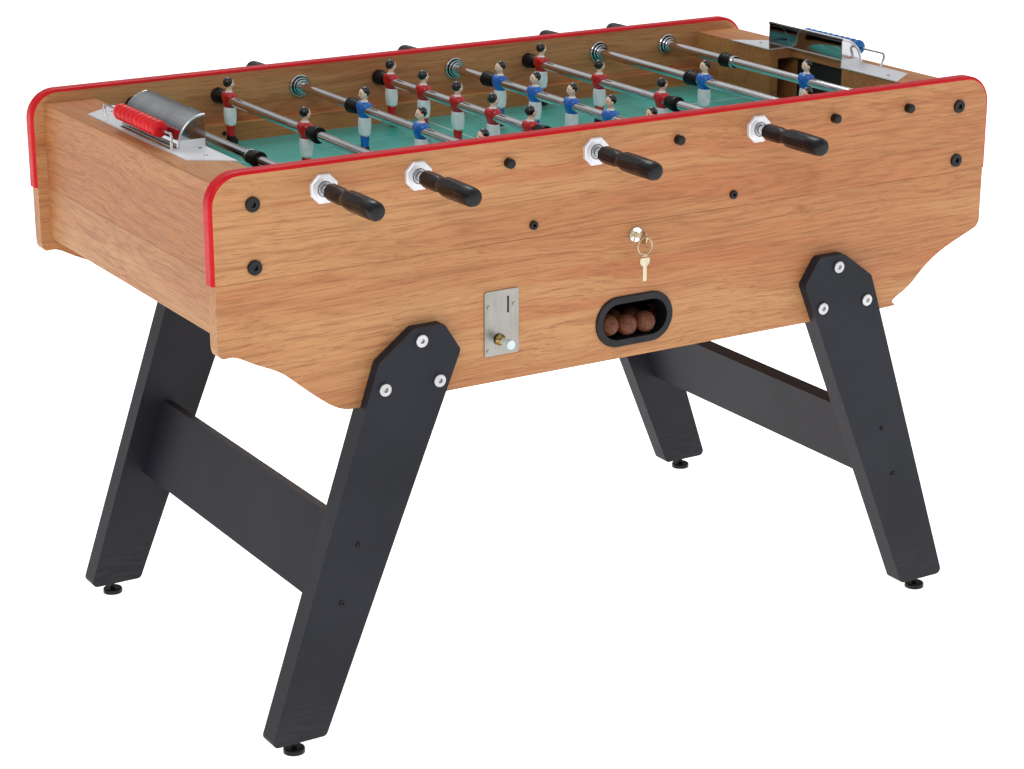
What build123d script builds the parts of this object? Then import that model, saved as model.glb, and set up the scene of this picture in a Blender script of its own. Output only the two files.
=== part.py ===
"""Table football cabinet on splayed legs, built as separate pieces in millimetres, +Z up.

The origin is on the floor under the middle of the table.  X runs along the length, the coin plate
and the four handles of the first team are on the -Y side, the other four handles on the +Y side.
"""

from build123d import *
import math
import os

os.makedirs("parts", exist_ok=True)

# Overall sizes.
table_height = 900.0
body_length = 1420.0
body_width = 712.0
joint_height = 741.5
lower_edge_height = 526.0
end_drop_height = 655.0

# Boards.
panel_thickness = 25.0
board_thickness = 18.0
end_board_thickness = 22.0
end_board_inset = 23.0
trim_thickness = 5.0
corner_radius = 43.0
seam_gap = 0.5

# Playing field.
field_length = 1204.0
field_height = 781.0
field_thickness = 28.0
deck_height = 880.0
guard_thickness = 10.0
guard_height = 32.0
goal_width = 202.0

# Rods.
rod_height = 861.5
rod_pitch = 152.7
tube_radius = 8.0
inner_rod_radius = 6.0
running_gap = 0.05
hole_gap = 0.2
bush_shank_radius = 14.0
bush_across_flats = 42.0
bush_plate_thickness = 7.0
hub_radius = 19.0
hub_length = 15.0
cap_radius = 7.5
cap_length = 12.0
inner_rod_reach = 560.0

# Bumpers, players and handles.
bumper_radius = 13.2
bumper_length = 30.0
bumper_offset = 32.0
goalie_bumper_offset = 226.0
bumper_wall_gap = 1.0
foot_reach = 75.0
head_reach = 38.0
player_width = 27.0
shoulder_width = 33.0
handle_length = 142.0
handle_gap = 16.0
handle_radius = 14.8
handle_socket = 40.0
player_spacing = {1: 0.0, 2: 281.0, 3: 188.5, 5: 114.0}

# Each rod as its number of players and the side its handle is on, from -X to +X.
rod_table = [
    (1, -1),
    (2, -1),
    (3, 1),
    (5, -1),
    (5, 1),
    (3, -1),
    (2, 1),
    (1, 1),
]

# Legs and feet.
leg_thickness = 36.0
leg_lap = 18.0
leg_bottom = 22.0
leg_foot_outer = 653.0
leg_foot_inner = 561.0
leg_inner_shoulder_x = 322.0
leg_shoulder_height = 594.0
leg_top_height = 638.0
leg_top_inner_x = 350.0
leg_top_outer_x = 401.0
leg_outer_shoulder_x = 460.0
leg_corner_radius = 9.0
foot_radius = 16.5
foot_thickness = 8.0
stem_radius = 4.0
stem_engagement = 26.0
stretcher_x = 514.5
stretcher_z = 275.0
stretcher_width = 132.0
stretcher_thickness = 22.0
stretcher_tilt = 18.9

# Ball return, coin plate and lock.
cup_width = 143.0
cup_height = 81.0
cup_rim = 11.5
cup_z = 586.0
cup_wall = 2.5
cup_depth = 95.0
cup_flange = 4.0
ball_radius = 17.0
ramp_thickness = 8.0
ramp_width = 44.0
coin_plate_x = -241.5
coin_plate_z = 618.5
coin_plate_width = 60.0
coin_plate_height = 101.0
coin_plate_thickness = 2.0
coin_slot_offset = 11.0
knob_offset_x = -4.0
knob_offset_z = -26.0
knob_radius = 7.0
knob_length = 34.0
lock_z = 721.5
lock_radius = 9.0

# Bolts.
bolt_head_radius = 11.0
bolt_head_height = 4.0
bolt_shank_radius = 4.0
small_head_radius = 7.0
leg_head_radius = 10.0
screw_head_radius = 4.5
screw_head_height = 2.0
small_shank_radius = 2.5
bolt_bite = 18.0
panel_bolt_x = 644.5
panel_bolt_upper_z = 852.5
panel_bolt_lower_z = 761.5
small_bolt_x = 185.0

# Goal hoods and score wires.
hood_height = 51.0
hood_depth = 46.0
hood_wall = 2.0
hood_slot = 9.0
hood_front_overlap = 3.0
plate_depth = 62.0
plate_thickness = 1.5
plate_near = 170.0
plate_far = 206.0
plate_flare = 45.0
wire_radius = 2.0
wire_x = 656.0
wire_rise = 27.0
wire_near = 108.0
wire_far = 151.0
bead_radius = 13.0
bead_length = 15.6
bead_count = 10
bead_start = -72.0

# Hinges at the rear seam.
hinge_length = 90.0
hinge_x = 420.0
hinge_barrel_radius = 5.0
hinge_leaf_height = 30.0
hinge_leaf_thickness = 2.0
hinge_pin_radius = 2.5

half_length = body_length / 2
half_board = half_length - trim_thickness
half_width = body_width / 2
inner_width = half_width - panel_thickness
board_top = table_height - trim_thickness
upper_bottom = joint_height + seam_gap / 2
lower_top = joint_height - seam_gap / 2
end_outer = half_length - end_board_inset
end_inner = end_outer - end_board_thickness
field_half = field_length / 2
goal_half = goal_width / 2
rod_x = [(index - 3.5) * rod_pitch for index in range(len(rod_table))]


def save(name, shape):
    """Write one node."""
    export_step(shape, "parts/" + name + ".step")


def group(shapes):
    """Separate solids kept together as one node."""
    solids = []
    for shape in shapes:
        solids.extend(shape.solids())
    return Compound(children=solids)


def block(x0, x1, y0, y1, z0, z1):
    """Box between two corners."""
    centre = Pos((x0 + x1) / 2, (y0 + y1) / 2, (z0 + z1) / 2)
    return centre * Box(abs(x1 - x0), abs(y1 - y0), abs(z1 - z0))


def rod_along_y(x, z, radius, y0, y1):
    """Cylinder along Y between two planes."""
    return Pos(x, (y0 + y1) / 2, z) * Rot(90, 0, 0) * Cylinder(radius, abs(y1 - y0))


def cone_along_y(x, z, y0, r0, y1, r1):
    """Cone along Y with radius r0 at y0 and r1 at y1."""
    turn = Rot(-90, 0, 0) if y1 > y0 else Rot(90, 0, 0)
    return Pos(x, (y0 + y1) / 2, z) * turn * Cone(r0, r1, abs(y1 - y0))


def slab(edges, y0, y1):
    """Face bounded by edges in the plane y0, extruded to y1."""
    face = make_face(edges)
    return extrude(face, amount=abs(y1 - y0), dir=(0, 1 if y1 > y0 else -1, 0))


def polygon_slab(points, y0, y1):
    """Flat piece with a straight-sided outline in X and Z."""
    outline = Polyline([(x, y0, z) for x, z in points], close=True)
    return slab(outline.edges(), y0, y1)


def prism_y(points_yz, x0, x1):
    """Flat piece with a straight-sided outline in Y and Z, extruded along X."""
    outline = Polyline([(x0, y, z) for y, z in points_yz], close=True)
    return extrude(make_face(outline.edges()), amount=abs(x1 - x0), dir=(1 if x1 > x0 else -1, 0, 0))


def upper_outline(half, top, radius, bottom, y0):
    """Edges of an upper panel: square below, rounded at its two top corners."""
    k = radius * (1 - math.sqrt(0.5))
    return [
        Line((-half, y0, bottom), (half, y0, bottom)),
        Line((half, y0, bottom), (half, y0, top - radius)),
        ThreePointArc((half, y0, top - radius), (half - k, y0, top - k), (half - radius, y0, top)),
        Line((half - radius, y0, top), (-half + radius, y0, top)),
        ThreePointArc((-half + radius, y0, top), (-half + k, y0, top - k), (-half, y0, top - radius)),
        Line((-half, y0, top - radius), (-half, y0, bottom)),
    ]


def lower_outline(y0):
    """Edges of a lower panel, whose bottom edge sweeps up to each end."""
    rise = end_drop_height - lower_edge_height
    sweep = [
        (half_board - 17.0, end_drop_height - 0.15 * rise),
        (half_board - 50.0, end_drop_height - 0.25 * rise),
        (half_board - 93.0, end_drop_height - 0.41 * rise),
        (half_board - 127.0, end_drop_height - 0.61 * rise),
        (half_board - 156.0, end_drop_height - 0.80 * rise),
        (half_board - 182.0, end_drop_height - 0.94 * rise),
        (half_board - 212.0, lower_edge_height),
    ]
    right = [(half_board, y0, end_drop_height)] + [(x, y0, z) for x, z in sweep]
    left = [(-x, y, z) for x, y, z in right]
    down = Vector(0, 0, -1)
    edges = [
        Line((-half_board, y0, lower_top), (half_board, y0, lower_top)),
        Line((half_board, y0, lower_top), right[0]),
        Spline(right, tangents=[down, Vector(-1, 0, 0)]),
        Line(right[-1], left[-1]),
        Spline(left[::-1], tangents=[Vector(-1, 0, 0), -down]),
        Line(left[0], (-half_board, y0, lower_top)),
    ]
    return edges


def stadium(width, height, x, z, y0, y1):
    """Racetrack-shaped slab, long way along X."""
    radius = height / 2
    reach = width / 2 - radius
    edges = [
        Line((x - reach, y0, z + radius), (x + reach, y0, z + radius)),
        ThreePointArc((x + reach, y0, z + radius), (x + reach + radius, y0, z), (x + reach, y0, z - radius)),
        Line((x + reach, y0, z - radius), (x - reach, y0, z - radius)),
        ThreePointArc((x - reach, y0, z - radius), (x - reach - radius, y0, z), (x - reach, y0, z + radius)),
    ]
    return slab(edges, y0, y1)


def bolt(x, z, side, seat, head_radius, head_height, shank_radius, shank_length):
    """Round-headed socket bolt driven along Y; seat is the face its head sits on."""
    head = rod_along_y(x, z, head_radius, side * seat, side * (seat + head_height))
    rim = head.edges().filter_by(GeomType.CIRCLE)
    outer = [edge for edge in rim if abs(abs(edge.center().Y) - seat - head_height) < 0.01]
    head = fillet(outer, head_height * 0.35)
    socket = Pos(x, side * (seat + head_height * 0.6), z) * Rot(90, 0, 0)
    socket = socket * extrude(RegularPolygon(head_radius * 0.42, 6), amount=head_height * 0.45, both=True)
    shank = rod_along_y(x, z, shank_radius, side * seat, side * (seat - shank_length))
    return head + shank - socket


def drill(x, z, side, seat, shank_radius, depth):
    """Hole for a bolt's shank."""
    return rod_along_y(x, z, shank_radius + hole_gap, side * (seat + 1), side * (seat - depth - 1))


# Upper side panels, drilled for the bushes, the fixed rods and the bolts.
panel_bolts = []
for x in (-panel_bolt_x, panel_bolt_x):
    for z in (panel_bolt_upper_z, panel_bolt_lower_z):
        panel_bolts.append((x, z))
small_bolt_z = field_height - field_thickness / 2 - 6.0
small_bolts = [(-small_bolt_x, small_bolt_z), (small_bolt_x, small_bolt_z)]
bolt_depth = panel_thickness + bolt_bite

cabinet_drills = {}
for side in (-1, 1):
    cutters = []
    for x, z in panel_bolts:
        cutters.append(drill(x, z, side, half_width, bolt_shank_radius, bolt_depth))
    for x, z in small_bolts:
        cutters.append(drill(x, z, side, half_width, small_shank_radius, bolt_depth))
    cabinet_drills[side] = cutters

for side, name in ((-1, "upper_front_panel"), (1, "upper_rear_panel")):
    edges = upper_outline(half_board, board_top, corner_radius, upper_bottom, side * inner_width)
    panel = slab(edges, side * inner_width, side * half_width)
    for x, (count, handle_side) in zip(rod_x, rod_table):
        radius = bush_shank_radius if handle_side == side else inner_rod_radius
        panel -= rod_along_y(x, rod_height, radius + hole_gap, side * (inner_width - 1), side * (half_width + 1))
    for cutter in cabinet_drills[side]:
        panel -= cutter
    save(name, panel)

# Edge trims follow the tops and ends of both upper panels.
trims = []
for side in (-1, 1):
    outer = slab(
        upper_outline(half_length, table_height, corner_radius + trim_thickness, upper_bottom, side * inner_width),
        side * inner_width,
        side * half_width,
    )
    core = slab(
        upper_outline(half_board, board_top, corner_radius, upper_bottom - 1, side * (inner_width - 1)),
        side * (inner_width - 1),
        side * (half_width + 1),
    )
    trims.append(outer - core)
save("edge_trims", group(trims))

# End boards, decks, goal walls, corner blocks and side guards of the upper cabinet.
upper_boards = []
for end in (-1, 1):
    deck_bottom = deck_height - board_thickness
    wall_back = field_half + board_thickness
    end_board = block(end * end_inner, end * end_outer, -inner_width, inner_width, upper_bottom, deck_height)
    top_edges = end_board.edges().filter_by(Axis.Y).sort_by(Axis.Z)[-2:]
    end_board = fillet(top_edges.sort_by(Axis.X)[-1 if end > 0 else 0], 3)
    deck = block(end * wall_back, end * end_inner, -inner_width, inner_width, deck_bottom, deck_height)
    hole_end = field_half - hood_front_overlap + hood_depth + hood_slot
    deck -= block(end * (wall_back - 1), end * hole_end, -goal_half, goal_half, deck_bottom - 1, deck_height + 1)
    wall_bottom = field_height - field_thickness
    wall = block(end * field_half, end * wall_back, -inner_width, inner_width, wall_bottom, deck_height)
    wall -= block(end * (field_half - 1), end * (wall_back + 1), -goal_half, goal_half, field_height, deck_height + 1)
    upper_boards.extend([end_board, deck, wall])
    for side in (-1, 1):
        corner = block(
            end * (wall_back + 3),
            end * end_inner,
            side * (inner_width - 42),
            side * inner_width,
            upper_bottom + 3,
            deck_bottom,
        )
        for cutter in cabinet_drills[side]:
            corner -= cutter
        upper_boards.append(corner)
for side in (-1, 1):
    guard = block(
        -field_half,
        field_half,
        side * (inner_width - guard_thickness),
        side * inner_width,
        field_height,
        field_height + guard_height,
    )
    guard_edges = guard.edges().filter_by(Axis.X).sort_by(Axis.Z)[-2:]
    guard = chamfer(guard_edges.sort_by(Axis.Y)[0 if side > 0 else -1], 1.5)
    upper_boards.append(guard)
save("upper_boards", group(upper_boards))

# Playing field board.
field = block(-field_half, field_half, -inner_width, inner_width, field_height - field_thickness, field_height)
for side in (-1, 1):
    for cutter in cabinet_drills[side]:
        field -= cutter
save("playfield", field)

# Bolts of the upper cabinet.
cabinet_bolts = []
for side in (-1, 1):
    for x, z in panel_bolts:
        cabinet_bolts.append(
            bolt(x, z, side, half_width, bolt_head_radius, bolt_head_height, bolt_shank_radius, bolt_depth)
        )
    for x, z in small_bolts:
        cabinet_bolts.append(
            bolt(x, z, side, half_width, small_head_radius, bolt_head_height, small_shank_radius, bolt_depth)
        )
save("cabinet_bolts", group(cabinet_bolts))

# Lower side panels, drilled for the leg bolts, the ball return, the coin plate and the lock.
leg_bolts_at = [(389.0, 618.0), (451.0, 553.0), (359.5, 552.0)]
leg_seat = half_width + leg_lap
leg_bolt_depth = leg_lap + panel_thickness - 4.0


def leg_drills(side):
    """Cutters for the bolts of both legs on one side."""
    cutters = []
    for end in (-1, 1):
        for x, z in leg_bolts_at:
            cutters.append(drill(end * x, z, side, leg_seat, bolt_shank_radius, leg_bolt_depth))
    return cutters


knob_x = coin_plate_x + knob_offset_x
knob_z = coin_plate_z + knob_offset_z
coin_slot_x = coin_plate_x + coin_slot_offset
coin_slot_z = coin_plate_z + 27.0
plate_screws = [(-22.0, 26.0), (22.0, 26.0), (-23.0, -42.5), (23.0, -42.5)]

for side, name in ((-1, "lower_front_panel"), (1, "lower_rear_panel")):
    panel = slab(lower_outline(side * inner_width), side * inner_width, side * half_width)
    for cutter in leg_drills(side):
        panel -= cutter
    if side < 0:
        panel -= stadium(
            cup_width - 2 * cup_rim + 2 * cup_wall + 2 * hole_gap,
            cup_height - 2 * cup_rim + 2 * cup_wall + 2 * hole_gap,
            0,
            cup_z,
            -inner_width + 1,
            -half_width - 1,
        )
        panel -= rod_along_y(0, lock_z, lock_radius + hole_gap, -inner_width + 1, -half_width - 1)
        panel -= rod_along_y(knob_x, knob_z, knob_radius * 0.6 + 0.5, -inner_width + 1, -half_width - 1)
        panel -= block(
            coin_slot_x - 3,
            coin_slot_x + 3,
            -inner_width + 1,
            -half_width - 1,
            coin_slot_z - 14,
            coin_slot_z + 14,
        )
    save(name, panel)

# Boards of the lower cabinet: ends, floor, swept undersides, and the ball ramps inside.
lower_boards = []
for end in (-1, 1):
    floor_half = half_board - 212.0
    lower_boards.append(
        block(end * end_inner, end * end_outer, -inner_width, inner_width, end_drop_height, lower_top)
    )
    swept = [
        (end * floor_half, lower_edge_height + 4),
        (end * (end_inner - 1), end_drop_height - 4),
        (end * (end_inner - 1), end_drop_height + 14),
        (end * floor_half, lower_edge_height + 22),
    ]
    lower_boards.append(polygon_slab(swept, -inner_width, inner_width))
    chute_low = end_drop_height + 26.0
    chute_high = end_drop_height + 62.0
    chute = [
        (-inner_width, chute_low),
        (goal_half + 10, chute_high),
        (goal_half + 10, chute_high + ramp_thickness),
        (-inner_width, chute_low + ramp_thickness),
    ]
    chute_back = field_half + board_thickness
    lower_boards.append(prism_y(chute, end * chute_back, end * (end_inner - 1)))
    cup_floor = cup_z - cup_height / 2 + cup_rim
    cup_side = cup_width / 2 + 8.0
    ramp = [
        (end * cup_side, cup_floor - ramp_thickness),
        (end * (chute_back - 1), chute_low - 4),
        (end * (chute_back - 1), chute_low - 4 + ramp_thickness),
        (end * cup_side, cup_floor),
    ]
    lower_boards.append(polygon_slab(ramp, -inner_width, -inner_width + ramp_width))
    fence = [
        (end * cup_side, cup_floor - ramp_thickness),
        (end * (chute_back - 1), chute_low - 4),
        (end * (chute_back - 1), chute_low + 26),
        (end * cup_side, cup_floor + 22),
    ]
    fence_y = -inner_width + ramp_width
    lower_boards.append(polygon_slab(fence, fence_y, fence_y + ramp_thickness))
lower_boards.append(
    block(-floor_half, floor_half, -inner_width, inner_width, lower_edge_height + 4, lower_edge_height + 22)
)
save("lower_boards", group(lower_boards))

# Legs: a full-thickness board below the cabinet and a lap on the outside of the panel above it.
leg_outline = [
    (leg_foot_outer, leg_bottom),
    (leg_foot_inner, leg_bottom),
    (leg_inner_shoulder_x, leg_shoulder_height),
    (leg_top_inner_x, leg_top_height),
    (leg_top_outer_x, leg_top_height),
    (leg_outer_shoulder_x, leg_shoulder_height),
]
foot_x = (leg_foot_outer + leg_foot_inner) / 2
foot_y = leg_seat - leg_thickness / 2
tilt = math.radians(stretcher_tilt)
stretcher_screws = []
for step in (-1, 1):
    reach = step * (stretcher_width / 2 - 20.0)
    stretcher_screws.append((stretcher_x - reach * math.sin(tilt), stretcher_z + reach * math.cos(tilt)))
screw_depth = leg_thickness + 30.0

legs = []
for side in (-1, 1):
    for end in (-1, 1):
        outline = [(end * x, z) for x, z in leg_outline]
        leg = polygon_slab(outline, side * (leg_seat - leg_thickness), side * leg_seat)
        leg = fillet(leg.edges().filter_by(Axis.Y), leg_corner_radius)
        rebate_top = leg_top_height + 10
        leg -= block(
            end * (leg_inner_shoulder_x - 20),
            end * (leg_outer_shoulder_x + 60),
            side * (leg_seat - leg_thickness - 1),
            side * half_width,
            lower_edge_height,
            rebate_top,
        )
        leg -= Pos(end * foot_x, side * foot_y, leg_bottom + stem_engagement / 2) * Cylinder(
            stem_radius + hole_gap, stem_engagement + 2
        )
        for cutter in leg_drills(side):
            leg -= cutter
        for x, z in stretcher_screws:
            leg -= drill(end * x, z, side, leg_seat, small_shank_radius, leg_thickness)
        legs.append(leg)
save("legs", group(legs))

# Stretchers join each front leg to the rear leg behind it.
stretchers = []
stretcher_half = leg_seat - leg_thickness
for end in (-1, 1):
    board = Pos(end * stretcher_x, 0, stretcher_z) * Rot(0, -end * stretcher_tilt, 0) * Box(
        stretcher_thickness, 2 * stretcher_half, stretcher_width
    )
    for side in (-1, 1):
        for x, z in stretcher_screws:
            board -= drill(end * x, z, side, leg_seat, small_shank_radius, screw_depth)
    stretchers.append(board)
save("leg_stretchers", group(stretchers))

# Leg bolts, and the screws through the legs into the stretchers.
leg_bolts = []
end_screws = []
for side in (-1, 1):
    for end in (-1, 1):
        for x, z in leg_bolts_at:
            leg_bolts.append(
                bolt(end * x, z, side, leg_seat, leg_head_radius, bolt_head_height, bolt_shank_radius, leg_bolt_depth)
            )
        for x, z in stretcher_screws:
            end_screws.append(
                bolt(end * x, z, side, leg_seat, screw_head_radius, screw_head_height, small_shank_radius, screw_depth)
            )
save("leg_bolts", group(leg_bolts))
save("stretcher_screws", group(end_screws))

# Levelling feet.
feet = []
for side in (-1, 1):
    for end in (-1, 1):
        pad = Pos(end * foot_x, side * foot_y, foot_thickness / 2) * Cylinder(foot_radius, foot_thickness)
        pad = fillet(pad.edges().filter_by(GeomType.CIRCLE).sort_by(Axis.Z)[-1], 2.5)
        stem_top = leg_bottom + stem_engagement
        stem = Pos(end * foot_x, side * foot_y, stem_top / 2 + 2) * Cylinder(stem_radius, stem_top - 4)
        nut = Pos(end * foot_x, side * foot_y, leg_bottom - 4.5) * extrude(RegularPolygon(8.0, 6), amount=4.3)
        feet.append(pad + stem + nut)
save("levelling_feet", group(feet))

# Ball return cup: a racetrack bezel and liner through the panel, then an open-ended tray behind it.
bezel_back = -half_width
liner_width = cup_width - 2 * cup_rim + 2 * cup_wall
liner_height = cup_height - 2 * cup_rim + 2 * cup_wall
mouth_width = cup_width - 2 * cup_rim
mouth_height = cup_height - 2 * cup_rim
bezel = stadium(cup_width, cup_height, 0, cup_z, bezel_back, bezel_back - cup_flange)
bezel_edges = [edge for edge in bezel.edges() if edge.center().Y < bezel_back - cup_flange + 0.01]
bezel = fillet(bezel_edges, cup_flange * 0.5)
liner = stadium(liner_width, liner_height, 0, cup_z, bezel_back, -inner_width)
mouth = stadium(mouth_width, mouth_height, 0, cup_z, bezel_back - cup_flange - 1, -inner_width + 1)
tray_back = -half_width + cup_depth
tray_half = cup_width / 2 + 6.0
tray_floor = cup_z - mouth_height / 2
tray = block(-tray_half, tray_half, -inner_width, tray_back, tray_floor - cup_wall, tray_floor + mouth_height)
tray -= block(
    -tray_half - 1,
    tray_half + 1,
    -inner_width - 1,
    tray_back - cup_wall,
    tray_floor,
    tray_floor + mouth_height - cup_wall,
)
save("ball_return_cup", bezel + liner - mouth + tray - mouth)

# Balls waiting in the cup: three in the mouth and two behind them on the tray.
ball_gap = 0.1
mouth_radius = mouth_height / 2
ball_room = mouth_radius - ball_radius - ball_gap
front_row = -half_width + 13.0
rear_row = front_row + 2 * ball_radius + 0.6
ball_spots = [(-40.0, front_row), (-5.5, front_row), (29.0, front_row), (-9.0, rear_row), (26.0, rear_row)]
balls = []
for x, y in ball_spots:
    past_flat = max(0.0, abs(x) - (mouth_width / 2 - mouth_radius))
    ball_z = cup_z - math.sqrt(ball_room**2 - past_flat**2)
    balls.append(Pos(x, y, ball_z) * Sphere(ball_radius))
save("balls", group(balls))

# Coin plate with its slot, and the pull knob.
plate_front = -half_width - coin_plate_thickness
plate = block(
    coin_plate_x - coin_plate_width / 2,
    coin_plate_x + coin_plate_width / 2,
    -half_width,
    plate_front,
    coin_plate_z - coin_plate_height / 2,
    coin_plate_z + coin_plate_height / 2,
)
plate = fillet(plate.edges().filter_by(Axis.Y), 3.0)
plate -= block(
    coin_slot_x - 1.6,
    coin_slot_x + 1.6,
    -half_width + 1,
    plate_front - 1,
    coin_slot_z - 13,
    coin_slot_z + 13,
)
plate -= rod_along_y(knob_x, knob_z, knob_radius * 0.6 + 0.5, -half_width + 1, plate_front - 1)
for dx, dz in plate_screws:
    plate += rod_along_y(coin_plate_x + dx, coin_plate_z + dz, 3.2, plate_front, plate_front - 1.2)
save("coin_plate", plate)

knob_seat = plate_front - 3.0
knob = rod_along_y(knob_x, knob_z, knob_radius * 0.6, -inner_width - 2, plate_front - knob_length + 8)
knob += rod_along_y(knob_x, knob_z, knob_radius, plate_front - knob_length + 10, plate_front - knob_length)
knob += cone_along_y(knob_x, knob_z, knob_seat, knob_radius * 1.3, knob_seat - 5, knob_radius * 0.8)
save("coin_knob", knob)

# Lock barrel in the panel, and the key that turns in it, with its ring and the spare key.
barrel_front = -half_width - 2.5
barrel = rod_along_y(0, lock_z, lock_radius, -inner_width - 2, barrel_front)
barrel += rod_along_y(0, lock_z, lock_radius + 2.5, -half_width, barrel_front)
barrel -= rod_along_y(0, lock_z, 5.0 + 0.1, -inner_width + 2, barrel_front - 1)
barrel += rod_along_y(0, lock_z, lock_radius, -inner_width - 2, -inner_width - 5)
save("lock_barrel", barrel)

core = rod_along_y(0, lock_z, 5.0, -inner_width - 8, barrel_front - 0.6)
blade = block(-1.0, 1.0, barrel_front, barrel_front - 12, lock_z - 3.5, lock_z + 3.5)
bow = Pos(0, barrel_front - 19, lock_z) * Rot(0, 90, 0) * Cylinder(10.0, 2.0)
bow -= Pos(0, barrel_front - 24, lock_z) * Rot(0, 90, 0) * Cylinder(2.2, 6.0)
ring_y = barrel_front - 24
ring_drop = 14.0
ring = Pos(0, ring_y, lock_z - ring_drop + 1) * Rot(90, 0, 0) * Torus(ring_drop - 1.0, 0.9)
spare_top = lock_z - 2 * ring_drop - 2
spare = Pos(0, ring_y, spare_top - 6) * Rot(90, 0, 0) * Cylinder(9.0, 1.8)
spare -= Pos(0, ring_y, spare_top) * Rot(0, 90, 0) * Cylinder(1.6, 20.0)
spare += block(-3.5, 3.5, ring_y - 0.9, ring_y + 0.9, spare_top - 38, spare_top - 12)
save("lock_key", core + blade + bow + ring + spare)

# Rod bushes: an octagonal plate outside, a shank through the panel and a stepped hub inside.
bushes = []
for x, (count, side) in zip(rod_x, rod_table):
    octagon = RegularPolygon(bush_across_flats / 2, 8, major_radius=False, rotation=22.5)
    plate_disc = extrude(octagon, amount=bush_plate_thickness / 2, both=True)
    bush = Pos(x, side * (half_width + bush_plate_thickness / 2), rod_height) * Rot(90, 0, 0) * plate_disc
    bush = chamfer(bush.faces().sort_by(Axis.Y)[-1 if side > 0 else 0].edges(), 2.0)
    bush += rod_along_y(x, rod_height, bush_shank_radius, side * inner_width, side * half_width)
    bush += rod_along_y(x, rod_height, hub_radius, side * (inner_width - hub_length * 0.4), side * inner_width)
    bush += rod_along_y(x, rod_height, hub_radius - 4, side * (inner_width - hub_length * 0.75), side * inner_width)
    bush += rod_along_y(x, rod_height, hub_radius - 7, side * (inner_width - hub_length), side * inner_width)
    bore_radius = tube_radius + running_gap
    bush -= rod_along_y(x, rod_height, bore_radius, side * (inner_width - 30), side * (half_width + 30))
    bushes.append(bush)
save("rod_bushes", group(bushes))

# Fixed inner rods that the tubes slide and turn on, and the caps over their outer ends.
inner_rods = []
end_caps = []
for x, (count, side) in zip(rod_x, rod_table):
    far = -side
    inner_rods.append(
        rod_along_y(x, rod_height, inner_rod_radius, far * half_width, far * (half_width - inner_rod_reach))
    )
    cap = rod_along_y(x, rod_height, cap_radius, far * half_width, far * (half_width + cap_length))
    rim = [edge for edge in cap.edges() if abs(edge.center().Y) > half_width + cap_length - 0.01]
    end_caps.append(fillet(rim, 3.0))
save("inner_rods", group(inner_rods))
save("rod_end_caps", group(end_caps))


def player(x, y, facing):
    """One standing figure with the rod through its chest; facing is +1 or -1 along X."""
    half = player_width / 2
    z = rod_height
    reach = shoulder_width / 2
    body = block(x - 10.5, x + 10.5, y - half, y + half, z - 13, z + 12.5)
    body = fillet(body.edges().filter_by(Axis.X), 5.0)
    sleeves = block(x - 8.5, x + 8.5, y - reach, y + reach, z - 4, z + 12)
    sleeves = fillet(sleeves.edges().filter_by(Axis.X), 4.5)
    neck = Pos(x, y, z + 15) * Cylinder(5.0, 8.0)
    head = Pos(x + facing * 1.0, y, z + head_reach - 10.0) * Sphere(10.0)
    shorts = block(x - 9, x + 9, y - 11, y + 11, z - 41, z - 12)
    shins = block(x - 7, x + 7, y - 8.5, y + 8.5, z - 62, z - 40)
    boots = [
        (x - facing * 7, z - 61),
        (x + facing * 7, z - 61),
        (x + facing * 9, z - foot_reach + 1.5),
        (x + facing * 7, z - foot_reach + 0.6),
        (x - facing * 8, z - foot_reach + 0.6),
        (x - facing * 8, z - 66),
    ]
    boot = polygon_slab(boots, y - 10, y + 10)
    figure = body + sleeves + neck + head + shorts + shins + boot
    return figure - rod_along_y(x, z, tube_radius, y - reach - 5, y + reach + 5)


def handle(x, side, inner_end):
    """Faceted grip with a collar, a neck and a body that swells towards its rounded end."""
    octagon_at = []
    stations = [
        (0.0, 11.2),
        (3.0, 12.8),
        (36.0, 12.8),
        (46.0, 11.6),
        (56.0, handle_radius - 1.2),
        (75.0, handle_radius),
        (handle_length - 32.0, handle_radius),
        (handle_length - 6.0, handle_radius - 0.8),
        (handle_length, handle_radius - 5.5),
    ]
    for reach, radius in stations:
        plane = Plane(origin=(x, side * (inner_end + reach), rod_height), x_dir=(1, 0, 0), z_dir=(0, side, 0))
        octagon_at.append(plane * RegularPolygon(radius, 8, rotation=22.5))
    grip = loft(octagon_at, ruled=True)
    socket_end = side * (inner_end + handle_socket)
    return grip - rod_along_y(x, rod_height, tube_radius, side * (inner_end - 1), socket_end)


def bumper(x, centre, outward):
    """Ribbed rubber stop ring around the tube, narrower towards the player it guards."""
    back = centre + outward * bumper_length / 2
    front = centre - outward * bumper_length / 2
    middle = centre - outward * bumper_length * 0.1
    ring = cone_along_y(x, rod_height, front, bumper_radius * 0.78, middle, bumper_radius)
    ring += rod_along_y(x, rod_height, bumper_radius, middle, back)
    for share in (0.18, 0.34):
        groove_y = centre + outward * bumper_length * share
        groove = rod_along_y(x, rod_height, bumper_radius + 1, groove_y - 0.9, groove_y + 0.9)
        groove -= rod_along_y(x, rod_height, bumper_radius - 1.5, groove_y - 2, groove_y + 2)
        ring -= groove
    return ring - rod_along_y(x, rod_height, tube_radius + running_gap, centre - 40, centre + 40)


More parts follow.
